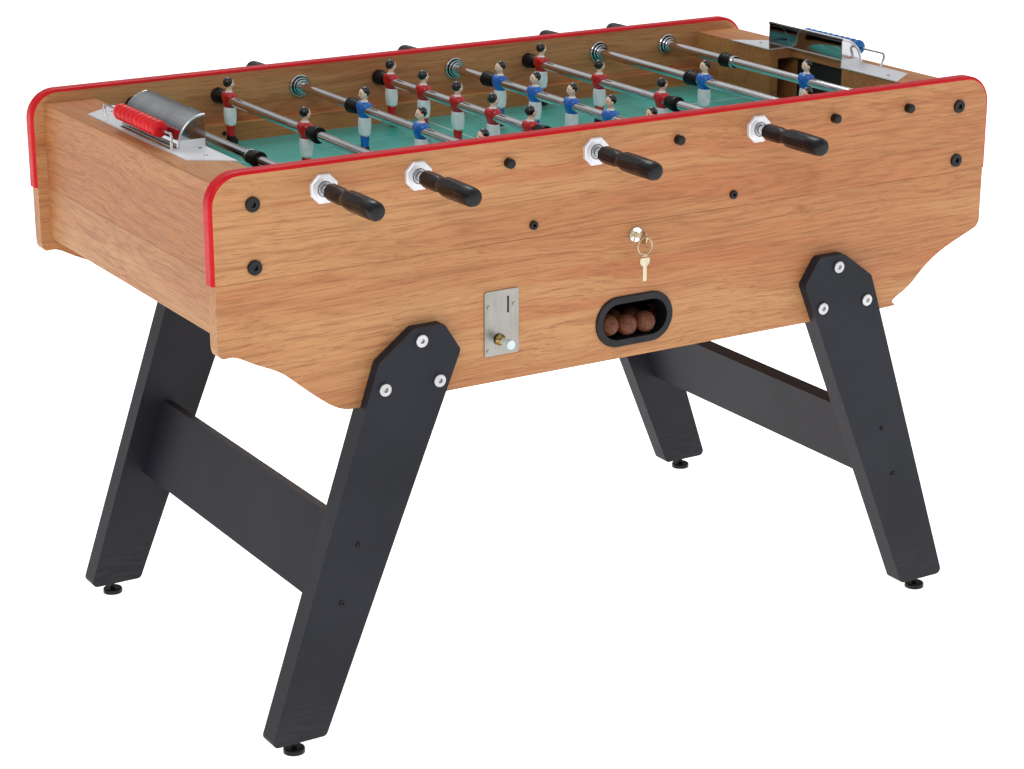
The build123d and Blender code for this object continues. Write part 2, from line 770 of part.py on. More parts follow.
# Rods: each tube is pushed fully in, so its far bumper is against the wall opposite its handle.
for number, (x, (count, side)) in enumerate(zip(rod_x, rod_table), start=1):
    name = "rod_" + str(number)
    far = -side
    far_bumper = far * (inner_width - bumper_wall_gap - bumper_length / 2)
    offset = goalie_bumper_offset if count == 1 else bumper_offset
    first_player = far_bumper + side * offset
    spacing = player_spacing[count]
    player_y = [first_player + side * spacing * index for index in range(count)]
    near_bumper = player_y[-1] + side * offset
    handle_start = half_width + bush_plate_thickness + handle_gap
    tube_far = far_bumper + far * bumper_length / 2
    tube_near = side * (handle_start + handle_socket - 0.5)
    tube = rod_along_y(x, rod_height, tube_radius, tube_far, tube_near)
    tube -= rod_along_y(
        x, rod_height, inner_rod_radius + running_gap, tube_far + far, side * (handle_start + handle_socket - 4)
    )
    facing = 1 if side < 0 else -1
    save(name + "_tube", tube)
    save(name + "_players", group([player(x, y, facing) for y in player_y]))
    save(name + "_handle", handle(x, side, handle_start))
    save(name + "_bumpers", group([bumper(x, far_bumper, far), bumper(x, near_bumper, side)]))


def goal_hood(end):
    """Quarter-round hood over the goal, its end plates and the flared plate it stands on."""
    face = field_half - hood_front_overlap
    base = deck_height + plate_thickness
    hood_half = goal_half + hood_wall
    back = face + hood_depth
    away = -end

    def quarter(grow, y0, y1):
        depth = hood_depth - grow
        height = hood_height - plate_thickness - grow
        k = math.sqrt(0.5)
        edges = [
            Line((end * face, y0, base), (end * face, y0, base + height)),
            ThreePointArc(
                (end * face, y0, base + height),
                (end * (face + depth * k), y0, base + height * k),
                (end * (face + depth), y0, base),
            ),
            Line((end * (face + depth), y0, base), (end * face, y0, base)),
        ]
        return slab(edges, y0, y1)

    shell = quarter(0.0, -hood_half, hood_half) - quarter(hood_wall, -goal_half, goal_half)
    plate_points = [
        (end * face, away * (plate_far + plate_flare)),
        (end * (face + plate_depth), away * plate_far),
        (end * (face + plate_depth), -away * plate_near),
        (end * face, -away * (plate_near + plate_flare)),
    ]
    outline = Polyline([(px, py, deck_height) for px, py in plate_points], close=True)
    base_plate = extrude(make_face(outline.edges()), amount=plate_thickness, dir=(0, 0, 1))
    mouth_end = back - hood_wall - 1
    base_plate -= block(end * (face - 1), end * mouth_end, -goal_half, goal_half, deck_height - 1, base + 1)
    slot_half = goal_half - 6.0
    base_plate -= block(end * (back + 1), end * (back + hood_slot), -slot_half, slot_half, deck_height - 1, base + 1)
    return shell + base_plate


def score_wire(end):
    """Bent wire that stands on the plate and carries the beads along the back of the hood."""
    away = -end
    x = end * wire_x
    low = deck_height + plate_thickness
    level = deck_height + wire_rise
    path = FilletPolyline(
        (x, -away * wire_near, low),
        (x, -away * (wire_near + 4.0), level),
        (x, away * wire_far, level),
        (x, away * (wire_far - 12.0), low),
        radius=6.0,
    )
    start = Plane(origin=path @ 0, z_dir=path % 0)
    return sweep(start * Circle(wire_radius), path=path)


def score_beads(end):
    """Ten rounded beads threaded on one wire."""
    away = -end
    beads = []
    for index in range(bead_count):
        centre = away * (bead_start + (index + 0.5) * bead_length)
        half = bead_length / 2 - 0.1
        bead = rod_along_y(end * wire_x, deck_height + wire_rise, bead_radius, centre - half, centre + half)
        bead = fillet(bead.edges().filter_by(GeomType.CIRCLE), 4.5)
        hole = rod_along_y(end * wire_x, deck_height + wire_rise, wire_radius + 0.3, centre - 20, centre + 20)
        beads.append(bead - hole)
    return beads


save("goal_hoods", group([goal_hood(-1), goal_hood(1), score_wire(-1), score_wire(1)]))
save("red_score_beads", group(score_beads(-1)))
save("blue_score_beads", group(score_beads(1)))

# Two hinges along the rear seam let the upper cabinet tip back.
hinge_y = half_width + hinge_barrel_radius
knuckle_count = 5
knuckle = hinge_length / knuckle_count


def hinge_leaf(x, upper):
    """One leaf with its knuckles; the lower leaf keeps the pin."""
    centre_z = joint_height
    if upper:
        leaf_low = upper_bottom
        leaf_high = upper_bottom + hinge_leaf_height
    else:
        leaf_low = lower_top - hinge_leaf_height
        leaf_high = lower_top
    x0 = x - hinge_length / 2
    leaf = block(x0, x0 + hinge_length, half_width, half_width + hinge_leaf_thickness, leaf_low, leaf_high)
    for index in range(knuckle_count):
        centre_x = x0 + (index + 0.5) * knuckle
        place = Pos(centre_x, hinge_y, centre_z) * Rot(0, 90, 0)
        own = (index % 2 == 1) == upper
        if own:
            leaf += place * Cylinder(hinge_barrel_radius, knuckle - 0.4)
        else:
            leaf -= place * Cylinder(hinge_barrel_radius + 0.4, knuckle + 0.2)
    bore = Pos(x, hinge_y, centre_z) * Rot(0, 90, 0) * Cylinder(hinge_pin_radius + running_gap, hinge_length + 4)
    leaf -= bore
    for share in (0.25, 0.75):
        screw_z = leaf_low + (0.68 if upper else 0.32) * hinge_leaf_height
        screw_y = half_width + hinge_leaf_thickness
        leaf += rod_along_y(x0 + share * hinge_length, screw_z, 3.5, screw_y, screw_y + 1.2)
    return leaf


lower_leaves = []
upper_leaves = []
for x in (-hinge_x, hinge_x):
    pin = Pos(x, hinge_y, joint_height) * Rot(0, 90, 0) * Cylinder(hinge_pin_radius, hinge_length + 2)
    lower_leaves.extend([hinge_leaf(x, False), pin])
    upper_leaves.append(hinge_leaf(x, True))
save("hinge_lower_leaves", group(lower_leaves))
save("hinge_upper_leaves", group(upper_leaves))
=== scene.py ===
"""Looks of the table football table: finishes, moulded figures, grips, trims, beads, light and camera."""

import logging
import math
from dataclasses import dataclass, field
from enum import Enum
from typing import Any, Iterable, Sequence

import bmesh
import bpy
import numpy as np
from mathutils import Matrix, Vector


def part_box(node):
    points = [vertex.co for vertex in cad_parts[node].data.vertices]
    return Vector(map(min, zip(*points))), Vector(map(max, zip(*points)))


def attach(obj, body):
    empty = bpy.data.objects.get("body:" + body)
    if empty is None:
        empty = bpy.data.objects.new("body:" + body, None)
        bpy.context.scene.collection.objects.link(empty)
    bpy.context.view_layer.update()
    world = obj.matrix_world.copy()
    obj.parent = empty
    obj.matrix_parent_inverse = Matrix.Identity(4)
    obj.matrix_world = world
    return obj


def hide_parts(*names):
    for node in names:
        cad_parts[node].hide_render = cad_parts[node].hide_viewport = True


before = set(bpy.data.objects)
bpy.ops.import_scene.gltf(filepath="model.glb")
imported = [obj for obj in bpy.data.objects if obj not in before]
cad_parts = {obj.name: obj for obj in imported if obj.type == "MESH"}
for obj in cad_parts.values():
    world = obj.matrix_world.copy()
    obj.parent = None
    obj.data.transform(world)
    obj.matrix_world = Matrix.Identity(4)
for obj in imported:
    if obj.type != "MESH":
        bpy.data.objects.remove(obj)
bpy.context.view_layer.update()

LOG = logging.getLogger("table_football")
MM = 0.001


# --------------------------------------------------------------------------------------
# Shader expressions
# --------------------------------------------------------------------------------------


class Value:
    """A number socket that takes part in Python arithmetic.

    Args:
        graph: the node graph that the socket belongs to.
        socket: the output socket that carries the number.
    """

    def __init__(self, graph: "Graph", socket: bpy.types.NodeSocket) -> None:
        self.graph = graph
        self.socket = socket

    def _math(self, operation: str, left: Any, right: Any = None) -> "Value":
        """Adds one Math node that combines the operands."""
        operands = {index: item for index, item in enumerate((left, right)) if item is not None}
        return self.graph.node("ShaderNodeMath", {"operation": operation}, operands).value()

    def __add__(self, other: Any) -> "Value":
        """Sum."""
        return self._math("ADD", self, other)

    __radd__ = __add__

    def __sub__(self, other: Any) -> "Value":
        """Difference."""
        return self._math("SUBTRACT", self, other)

    def __rsub__(self, other: Any) -> "Value":
        """Difference with the number first."""
        return self._math("SUBTRACT", other, self)

    def __mul__(self, other: Any) -> "Value":
        """Product."""
        return self._math("MULTIPLY", self, other)

    __rmul__ = __mul__

    def __pow__(self, other: Any) -> "Value":
        """Power."""
        return self._math("POWER", self, other)

    def __abs__(self) -> "Value":
        """Absolute value."""
        return self._math("ABSOLUTE", self)

    def sine(self) -> "Value":
        """Sine of the value in radians."""
        return self._math("SINE", self)

    def above(self, level: float) -> "Value":
        """One where the value is over the level, otherwise zero."""
        return self._math("GREATER_THAN", self, level)

    def smaller(self, other: Any) -> "Value":
        """The smaller of two values."""
        return self._math("MINIMUM", self, other)

    def larger(self, other: Any) -> "Value":
        """The larger of two values."""
        return self._math("MAXIMUM", self, other)

    def ease(self, low: float, high: float, start: float = 0.0, end: float = 1.0) -> "Value":
        """Smooth step from start to end as the value goes from low to high.

        Args:
            low: value where the step starts.
            high: value where the step ends.
            start: result below low.
            end: result above high.

        Returns:
            The eased value.
        """
        settings = {"interpolation_type": "SMOOTHSTEP"}
        sockets = {"Value": self, "From Min": low, "From Max": high, "To Min": start, "To Max": end}
        return self.graph.node("ShaderNodeMapRange", settings, sockets).value()


class Made:
    """A node that has just been added, with short ways to its outputs."""

    def __init__(self, graph: "Graph", node: bpy.types.Node) -> None:
        self.graph = graph
        self.node = node

    def value(self, output: int | str = 0) -> Value:
        """One output as a number that takes part in arithmetic."""
        return Value(self.graph, self.node.outputs[output])

    def link(self, output: int | str = 0) -> bpy.types.NodeSocket:
        """One output as a plain socket, for colours, vectors and shaders."""
        return self.node.outputs[output]


class Graph:
    """Node graph of one material.

    Args:
        name: name of the material.
    """

    def __init__(self, name: str) -> None:
        self.material = bpy.data.materials.new(name)
        self.material.use_nodes = True
        self.tree = self.material.node_tree
        self.tree.nodes.clear()
        self.surface = self.node("ShaderNodeBsdfPrincipled")
        out = self.node("ShaderNodeOutputMaterial")
        self.tree.links.new(self.surface.link("BSDF"), out.node.inputs["Surface"])
        self.object_space = self.node("ShaderNodeTexCoord").link("Object")

    def node(
        self,
        kind: str,
        settings: dict[str, Any] | None = None,
        sockets: dict[int | str, Any] | None = None,
    ) -> Made:
        """Adds a node, applies its settings and then fills its sockets.

        Args:
            kind: the node's type name.
            settings: attributes to set first; "stops" gives a ramp's positions and colours.
            sockets: values or links, by socket name or number.

        Returns:
            The node with its outputs at hand.
        """
        node = self.tree.nodes.new(kind)
        for key, setting in (settings or {}).items():
            if key == "stops":
                ramp = node.color_ramp
                while len(ramp.elements) < len(setting):
                    ramp.elements.new(0.5)
                for element, (place, colour) in zip(ramp.elements, setting):
                    element.position = place
                    element.color = (*colour, 1.0)
            else:
                setattr(node, key, setting)
        made = Made(self, node)
        for key, item in (sockets or {}).items():
            self.feed(node.inputs[key], item)
        return made

    def feed(self, socket: bpy.types.NodeSocket, item: Any) -> None:
        """Links a socket, or sets its number, vector or colour."""
        if isinstance(item, Value):
            self.tree.links.new(item.socket, socket)
        elif isinstance(item, bpy.types.NodeSocket):
            self.tree.links.new(item, socket)
        elif socket.type == "RGBA" and len(item) == 3:
            socket.default_value = (*item, 1.0)
        else:
            socket.default_value = item

    def set(self, **sockets: Any) -> None:
        """Fills sockets of the surface shader; underscores stand for spaces."""
        for key, item in sockets.items():
            self.feed(self.surface.node.inputs[key.replace("_", " ")], item)

    def place(self, scale: Sequence[float]) -> bpy.types.NodeSocket:
        """Object coordinates, stretched along each axis."""
        sockets = {"Vector": self.object_space, "Scale": scale}
        return self.node("ShaderNodeMapping", {"vector_type": "POINT"}, sockets).link()

    def parts(self, vector: bpy.types.NodeSocket | None = None) -> tuple[Value, Value, Value]:
        """The three components of a vector, by default the object coordinates."""
        split = self.node("ShaderNodeSeparateXYZ", None, {0: vector or self.object_space})
        return split.value("X"), split.value("Y"), split.value("Z")

    def join(self, x: Any, y: Any, z: Any) -> bpy.types.NodeSocket:
        """A vector from three numbers."""
        return self.node("ShaderNodeCombineXYZ", None, {0: x, 1: y, 2: z}).link()

    def noise(self, vector: Any, detail: float = 3.0, rough: float = 0.5) -> Value:
        """Fractal noise between about 0 and 1, at the scale that the vector already has."""
        sockets = {"Vector": vector, "Scale": 1.0, "Detail": detail, "Roughness": rough}
        return self.node("ShaderNodeTexNoise", {"noise_dimensions": "3D"}, sockets).value("Fac")

    def cells(self, vector: Any, scale: float) -> Value:
        """Distance to the nearest of scattered points."""
        return self.node("ShaderNodeTexVoronoi", None, {"Vector": vector, "Scale": scale}).value("Distance")

    def mix(self, share: Any, first: Any, second: Any) -> bpy.types.NodeSocket:
        """Mixes two colours.

        Args:
            share: how much of the second colour, from 0 to 1.
            first: first colour or link.
            second: second colour or link.

        Returns:
            The mixed colour's socket.
        """
        made = self.node("ShaderNodeMix", {"data_type": "RGBA", "clamp_factor": True})
        self.feed(made.node.inputs[0], share)
        self.feed(made.node.inputs[6], first)
        self.feed(made.node.inputs[7], second)
        return made.link(2)

    def bump(self, height: Value, strength: float, distance: float) -> None:
        """Feeds the surface's normal from a height in metres."""
        sockets = {"Strength": strength, "Distance": distance, "Height": height}
        made = self.node("ShaderNodeBump", None, sockets)
        self.set(Normal=made.link("Normal"))


def srgb(red: int, green: int, blue: int) -> tuple[float, float, float]:
    """Linear colour from display values between 0 and 255."""
    def linear(level: int) -> float:
        """One channel."""
        share = level / 255
        return share / 12.92 if share <= 0.04045 else ((share + 0.055) / 1.055) ** 2.4

    return linear(red), linear(green), linear(blue)


# --------------------------------------------------------------------------------------
# Finishes
# --------------------------------------------------------------------------------------

Colour = tuple[float, float, float]


class Grain(Enum):
    """Which way the grain of a board runs."""

    LENGTHWAYS = "along the table"
    CROSSWAYS = "across the table"
    BY_PLACE = "across at the ends, along between them"


@dataclass(frozen=True)
class OakLaminate:
    """Satin wood laminate with long wandering grain, reddish streaks and fine pores."""

    name: str
    grain: Grain = Grain.LENGTHWAYS
    pale: Colour = srgb(197, 145, 97)
    body: Colour = srgb(184, 127, 82)
    dark: Colour = srgb(140, 83, 50)
    blush: Colour = srgb(184, 113, 72)
    # painted shade: dark colour for the inside of the goal pockets, where the hoods shade them
    pocket_shade: Colour = srgb(44, 42, 43)
    seed: float = 0.0
    field_end: float = 0.6025
    goal_mouth: float = 0.6195
    goal_back: float = 0.6652
    goal_half: float = 0.1015
    goal_floor: float = 0.75
    goal_roof: float = 0.8618

    def material(self) -> bpy.types.Material:
        """Builds the laminate.

        Broad tone, growth lines (a sine of slow noise), short pores and a blush are all noises of
        coordinates that are squeezed across the grain, so each runs out into long streaks.  Inside the
        goals at both ends the colour is painted dark, as painted shade in those pockets.
        """
        g = Graph(self.name)
        x, y, z = g.parts()
        if self.grain is Grain.LENGTHWAYS:
            along, across = x, y
        elif self.grain is Grain.CROSSWAYS:
            along, across = y, x
        else:
            ends = abs(x).above(self.field_end)
            along = x + ends * (y - x)
            across = y + ends * (x - y)
        drift = (g.noise(g.join(along * 1.9, across * 3.0, z * 5.0 + self.seed), 3.0) - 0.5) * 0.06
        high = z + drift
        wide = across + drift
        broad = g.noise(g.join(along * 0.9, wide * 8.0 + self.seed, high * 11.0), 3.0, 0.55)
        slow = g.noise(g.join(along * 0.9 + self.seed, wide * 8.0, high * 8.5), 2.0, 0.4)
        lines = ((slow * 190.0).sine() * 0.5 + 0.5) ** 3.0
        streak = g.noise(g.join(along * 4.5, wide * 150.0, high * 170.0 + self.seed), 5.0, 0.65)
        fine = g.noise(g.join(along * 16.0, wide * 620.0, high * 640.0), 3.0, 0.6)
        flush = g.noise(g.join(along * 1.3 - self.seed, wide * 16.0, high * 18.0), 3.0, 0.55)
        colour = g.mix(broad.ease(0.36, 0.64), self.pale, self.body)
        colour = g.mix(flush.ease(0.5, 0.66) * 0.7, colour, self.blush)
        colour = g.mix(streak.ease(0.46, 0.68) * 0.5, colour, self.dark)
        colour = g.mix(lines * broad.ease(0.3, 0.7, 0.08, 0.3), colour, self.dark)
        colour = g.mix(fine.ease(0.52, 0.7) * 0.6, colour, self.dark)
        colour = g.mix(fine.ease(0.3, 0.46, 0.35, 0.0), colour, self.pale)
        # painted shade: inside each goal pocket the colour turns dark, standing in for the shade under the
        # hood
        pocket_shade_mask = abs(x).above(self.goal_mouth) * (self.goal_back - abs(x)).above(0.0)
        pocket_shade_mask = pocket_shade_mask * (self.goal_half - abs(y)).above(0.0)
        pocket_shade_mask = pocket_shade_mask * z.above(self.goal_floor) * (self.goal_roof - z).above(0.0)
        colour = g.mix(pocket_shade_mask, colour, self.pocket_shade)
        g.set(Base_Color=colour, Roughness=fine.ease(0.3, 0.7, 0.42, 0.56))
        g.set(Specular_IOR_Level=0.28, Coat_Weight=0.05, Coat_Roughness=0.3)
        g.bump(fine * 0.6 + streak * 0.4, 0.12, 0.0004)
        return g.material


@dataclass(frozen=True)
class GlossPlastic:
    """Moulded plastic: even colour with a slight cloud, faint orange peel and handling marks."""

    name: str
    colour: Colour
    second: Colour
    rough: float = 0.22
    peel: float = 0.05
    coat: float = 0.05
    shine: float = 0.3

    def material(self) -> bpy.types.Material:
        """Builds the plastic from a cloud for the tone, a smear for the gloss and a fine peel."""
        g = Graph(self.name)
        cloud = g.noise(g.place((9, 9, 9)), 3.0)
        smear = g.noise(g.place((30, 90, 30)), 4.0, 0.6)
        peel = g.noise(g.place((420, 420, 420)), 2.0)
        g.set(Base_Color=g.mix(cloud.ease(0.3, 0.7), self.colour, self.second))
        g.set(Roughness=smear.ease(0.3, 0.75, self.rough * 0.8, self.rough * 1.5))
        g.set(Coat_Weight=self.coat, Coat_Roughness=0.12, Specular_IOR_Level=self.shine)
        g.bump(peel, self.peel, 0.0004)
        return g.material


@dataclass(frozen=True)
class LegBlack:
    """Satin charcoal facing on board, with a fine speckle, faint scuffs and a dusty foot."""

    name: str = "leg_charcoal"
    colour: Colour = srgb(29, 31, 38)
    light: Colour = srgb(40, 42, 50)
    scuff: Colour = srgb(72, 71, 72)

    def material(self) -> bpy.types.Material:
        """Builds the facing: speckle and cloud for tone, sparse stretched noise for scuffs."""
        g = Graph(self.name)
        speck = g.noise(g.place((700, 700, 700)), 2.0)
        cloud = g.noise(g.place((6, 6, 6)), 3.0)
        marks = g.noise(g.place((26, 26, 160)), 5.0, 0.7)
        height = g.parts()[2]
        dust = height.ease(0.02, 0.14, 0.22, 0.0) * marks.ease(0.4, 0.6)
        colour = g.mix(cloud.ease(0.3, 0.7) * 0.6 + speck.ease(0.45, 0.75) * 0.25, self.colour, self.light)
        colour = g.mix(marks.ease(0.7, 0.78) * 0.4 + dust, colour, self.scuff)
        g.set(Base_Color=colour, Roughness=speck.ease(0.3, 0.7, 0.46, 0.6) + dust * 0.3)
        g.set(Specular_IOR_Level=0.22)
        g.bump(speck, 0.12, 0.0004)
        return g.material


@dataclass(frozen=True)
class Metal:
    """Bare or plated metal: a tint, fine drawn lines along one axis, and smudges in the gloss."""

    name: str
    colour: Colour
    rough: float
    spread: float
    stretch: tuple[float, float, float] = (60, 60, 60)
    line_bump: float = 0.02
    metallic: float = 1.0

    def material(self) -> bpy.types.Material:
        """Builds the metal: drawn lines for bump and gloss, a slow smudge for tone and gloss."""
        g = Graph(self.name)
        lines = g.noise(g.place(self.stretch), 3.0, 0.6)
        smudge = g.noise(g.place((14, 14, 14)), 3.0)
        dull = tuple(0.82 * channel for channel in self.colour)
        tone = smudge.ease(0.35, 0.7) * 0.6 + lines.ease(0.4, 0.7) * 0.4
        gloss = lines.ease(0.3, 0.7, self.rough, self.rough + self.spread)
        g.set(Base_Color=g.mix(tone, self.colour, dull))
        g.set(Metallic=self.metallic)
        g.set(Roughness=gloss + smudge.ease(0.5, 0.8) * self.spread)
        g.bump(lines, self.line_bump, 0.0003)
        return g.material


@dataclass(frozen=True)
class HoodSteel:
    """Polished sheet steel for the hoods, with paler, duller base plates."""

    name: str = "hood_stainless"
    colour: Colour = srgb(196, 198, 202)
    dull: Colour = srgb(150, 152, 158)
    plate: Colour = srgb(226, 228, 232)
    plate_top: float = 0.8822
    end_face: float = 0.1024
    foot_top: float = 0.894

    def material(self) -> bpy.types.Material:
        """Builds the sheet: drawn lines and smudges in the gloss, and the plates picked out by height."""
        g = Graph(self.name)
        lines = g.noise(g.place((500, 10, 500)), 3.0, 0.6)
        smudge = g.noise(g.place((16, 16, 16)), 3.0)
        _, y, z = g.parts()
        foot = abs(y).above(self.end_face) * (self.foot_top - z).above(0.0)
        flat = (self.plate_top - z).above(0.0).larger(foot)
        worn = smudge.ease(0.35, 0.7) * 0.5 + lines.ease(0.4, 0.7) * 0.3
        tone = g.mix(worn, self.colour, self.dull)
        g.set(Base_Color=g.mix(flat, tone, self.plate))
        g.set(Metallic=1.0 - flat * 0.75)
        g.set(Roughness=lines.ease(0.3, 0.7, 0.05, 0.12) + flat * 0.25)
        g.bump(lines, 0.02, 0.0003)
        return g.material


@dataclass(frozen=True)
class TippedKnob:
    """Brass stem with a pale milky tip."""

    tip_from: float
    name: str = "knob_tipped"
    brass: Colour = srgb(186, 160, 96)
    tarnish: Colour = srgb(120, 98, 50)
    tip: Colour = srgb(206, 222, 226)

    def material(self) -> bpy.types.Material:
        """Builds the knob: everything further out than the start of the tip is milky plastic."""
        g = Graph(self.name)
        smudge = g.noise(g.place((160, 160, 160)), 3.0)
        tip = (self.tip_from - g.parts()[1]).above(0.0)
        stem = g.mix(smudge.ease(0.35, 0.7), self.brass, self.tarnish)
        g.set(Base_Color=g.mix(tip, stem, self.tip))
        g.set(Metallic=1.0 - tip * 0.85, Roughness=smudge.ease(0.3, 0.7, 0.14, 0.3))
        g.bump(smudge, 0.06, 0.0003)
        return g.material


@dataclass(frozen=True)
class Rubber:
    """Dull black rubber with a fine tooth and a grey bloom."""

    name: str = "bumper_rubber"
    colour: Colour = srgb(6, 6, 7)
    bloom: Colour = srgb(18, 18, 19)

    def material(self) -> bpy.types.Material:
        """Builds the rubber: cloud for bloom, fine noise for tooth."""
        g = Graph(self.name)
        cloud = g.noise(g.place((70, 70, 70)), 4.0, 0.6)
        tooth = g.noise(g.place((900, 900, 900)), 2.0)
        g.set(Base_Color=g.mix(cloud.ease(0.45, 0.8) * 0.7, self.colour, self.bloom))
        g.set(Roughness=tooth.ease(0.3, 0.7, 0.34, 0.5), Specular_IOR_Level=0.25)
        g.bump(tooth, 0.15, 0.0003)
        return g.material


@dataclass(frozen=True)
class PitchBoard:
    """Teal playing surface with a satin film, faint ball tracks and thin white lines."""

    name: str = "pitch_teal"
    green: Colour = srgb(62, 178, 168)
    deep: Colour = srgb(46, 156, 150)
    chalk: Colour = srgb(214, 226, 222)
    line_half: float = 0.0016
    circle: float = 0.105
    box_reach: float = 0.215
    box_half: float = 0.175
    small_reach: float = 0.085
    small_half: float = 0.115
    half_length: float = 0.602

    def _line(self, away: Value) -> Value:
        """One on a line, by the distance from its middle, with a soft edge."""
        return 1.0 - away.ease(self.line_half * 0.7, self.line_half * 1.3)

    def _ring(self, x: Value, y: Value, radius: float) -> Value:
        """One on a thin circle about the middle, by the distance from that circle."""
        return self._line(abs((x * x + y * y) ** 0.5 - radius))

    def _frame(self, x: Value, y: Value, reach: float, half: float) -> Value:
        """One on the outline of the rectangle that stands in from each end wall."""
        inward = abs(x) - (self.half_length - reach)
        sideways = half - abs(y)
        return self._line(abs(inward.smaller(sideways)))

    def material(self) -> bpy.types.Material:
        """Builds the board: cloudy teal, faint tracks along the length, and the chalk lines' masks."""
        g = Graph(self.name)
        x, y, _ = g.parts()
        cloud = g.noise(g.place((3.5, 3.5, 3.5)), 4.0)
        tracks = g.noise(g.place((5, 60, 5)), 4.0, 0.6)
        fleck = g.noise(g.place((600, 600, 600)), 2.0)
        colour = g.mix(cloud.ease(0.3, 0.7) * 0.7 + tracks.ease(0.5, 0.8) * 0.2, self.green, self.deep)
        lines = self._line(abs(x)).larger(self._ring(x, y, self.circle))
        lines = lines.larger(self._frame(x, y, self.box_reach, self.box_half))
        lines = lines.larger(self._frame(x, y, self.small_reach, self.small_half))
        colour = g.mix(lines * 0.85, colour, self.chalk)
        g.set(Base_Color=colour, Roughness=tracks.ease(0.3, 0.7, 0.26, 0.4))
        g.set(Coat_Weight=0.25, Coat_Roughness=0.2)
        g.bump(fleck, 0.05, 0.0003)
        return g.material


@dataclass(frozen=True)
class CorkBall:
    """Brown ball pressed from cork-like grains, with pits."""

    name: str = "ball_brown"
    colour: Colour = srgb(122, 66, 34)
    dark: Colour = srgb(70, 34, 16)

    def material(self) -> bpy.types.Material:
        """Builds the ball: scattered grains for tone and pits, cloud over them."""
        g = Graph(self.name)
        grains = g.cells(g.place((1, 1, 1)), 330.0)
        cloud = g.noise(g.place((60, 60, 60)), 4.0)
        tone = grains.ease(0.25, 0.7) * 0.6 + cloud.ease(0.4, 0.7) * 0.4
        g.set(Base_Color=g.mix(tone, self.colour, self.dark))
        g.set(Roughness=cloud.ease(0.3, 0.7, 0.55, 0.75))
        g.bump(grains, 0.25, 0.0005)
        return g.material


@dataclass(frozen=True)
class FigurePaint:
    """Painted moulding of one colour zone, with brush-soft tone and small chips."""

    name: str
    colour: Colour
    shade: Colour
    chip: Colour = srgb(214, 205, 190)
    rough: float = 0.26

    def material(self) -> bpy.types.Material:
        """Builds the paint: cloud for tone, sparse cells for chips."""
        g = Graph(self.name)
        cloud = g.noise(g.place((110, 110, 110)), 3.0)
        chips = g.noise(g.place((240, 240, 240)), 5.0, 0.7)
        colour = g.mix(cloud.ease(0.35, 0.7), self.colour, self.shade)
        colour = g.mix(chips.ease(0.74, 0.78) * 0.6, colour, self.chip)
        g.set(Base_Color=colour, Roughness=cloud.ease(0.3, 0.7, self.rough * 0.8, self.rough * 1.4))
        g.set(Coat_Weight=0.5, Coat_Roughness=0.08, Specular_IOR_Level=0.4)
        g.bump(cloud, 0.08, 0.0006)
        return g.material


@dataclass(frozen=True)
class StudioFloor:
    """Plain pale floor."""

    name: str = "studio_floor"
    colour: Colour = (0.9, 0.9, 0.9)
    glow: float = 0.86

    def material(self) -> bpy.types.Material:
        """Builds the floor's matte white, with a faint glow that keeps it even."""
        g = Graph(self.name)
        g.set(Base_Color=self.colour, Roughness=0.9, Specular_IOR_Level=0.1)
        g.set(Emission_Color=(1.0, 1.0, 1.0), Emission_Strength=self.glow)
        return g.material


# --------------------------------------------------------------------------------------
# Surfaces
# --------------------------------------------------------------------------------------


# Vertices closer than WELD and edges shorter than SLIVER are merged, in metres.
WELD = 2e-6
SLIVER = 1e-7
# Radius of a rounded station of a faceted piece, as a share of the distance to a facet's middle.
ROUNDED = 1.02
# Polar angle left open at each end of an ellipsoid; the caps close it.
POLE_GAP = 0.06


@dataclass
class Shell:
    """Points and four-cornered faces of one closed surface, in metres, with a finish number per face."""

    points: np.ndarray
    quads: np.ndarray
    finish: int = 0

    @staticmethod
    def grid(points: np.ndarray, wrap: bool, caps: bool, finish: int = 0) -> "Shell":
        """Joins a grid of points into a surface.

        Args:
            points: array (rows, columns, 3); rows run along the piece, columns round it.
            wrap: joins the last column to the first.
            caps: closes both ends by drawing each end row into its middle.
            finish: number of the finish.

        Returns:
            The shell.
        """
        if caps:
            first = np.repeat(points[:1].mean(axis=1, keepdims=True), points.shape[1], axis=1)
            last = np.repeat(points[-1:].mean(axis=1, keepdims=True), points.shape[1], axis=1)
            points = np.concatenate([first, points, last], axis=0)
        rows, columns = points.shape[:2]
        spans = columns if wrap else columns - 1
        row, column = np.meshgrid(np.arange(rows - 1), np.arange(spans), indexing="ij")
        right = (column + 1) % columns
        here = row * columns
        there = here + columns
        quads = np.stack([here + column, here + right, there + right, there + column], axis=-1)
        return Shell(points.reshape(-1, 3), quads.reshape(-1, 4), finish)

    def moved(self, shift: Sequence[float]) -> "Shell":
        """The shell, shifted."""
        return Shell(self.points + np.asarray(shift, float), self.quads, self.finish)


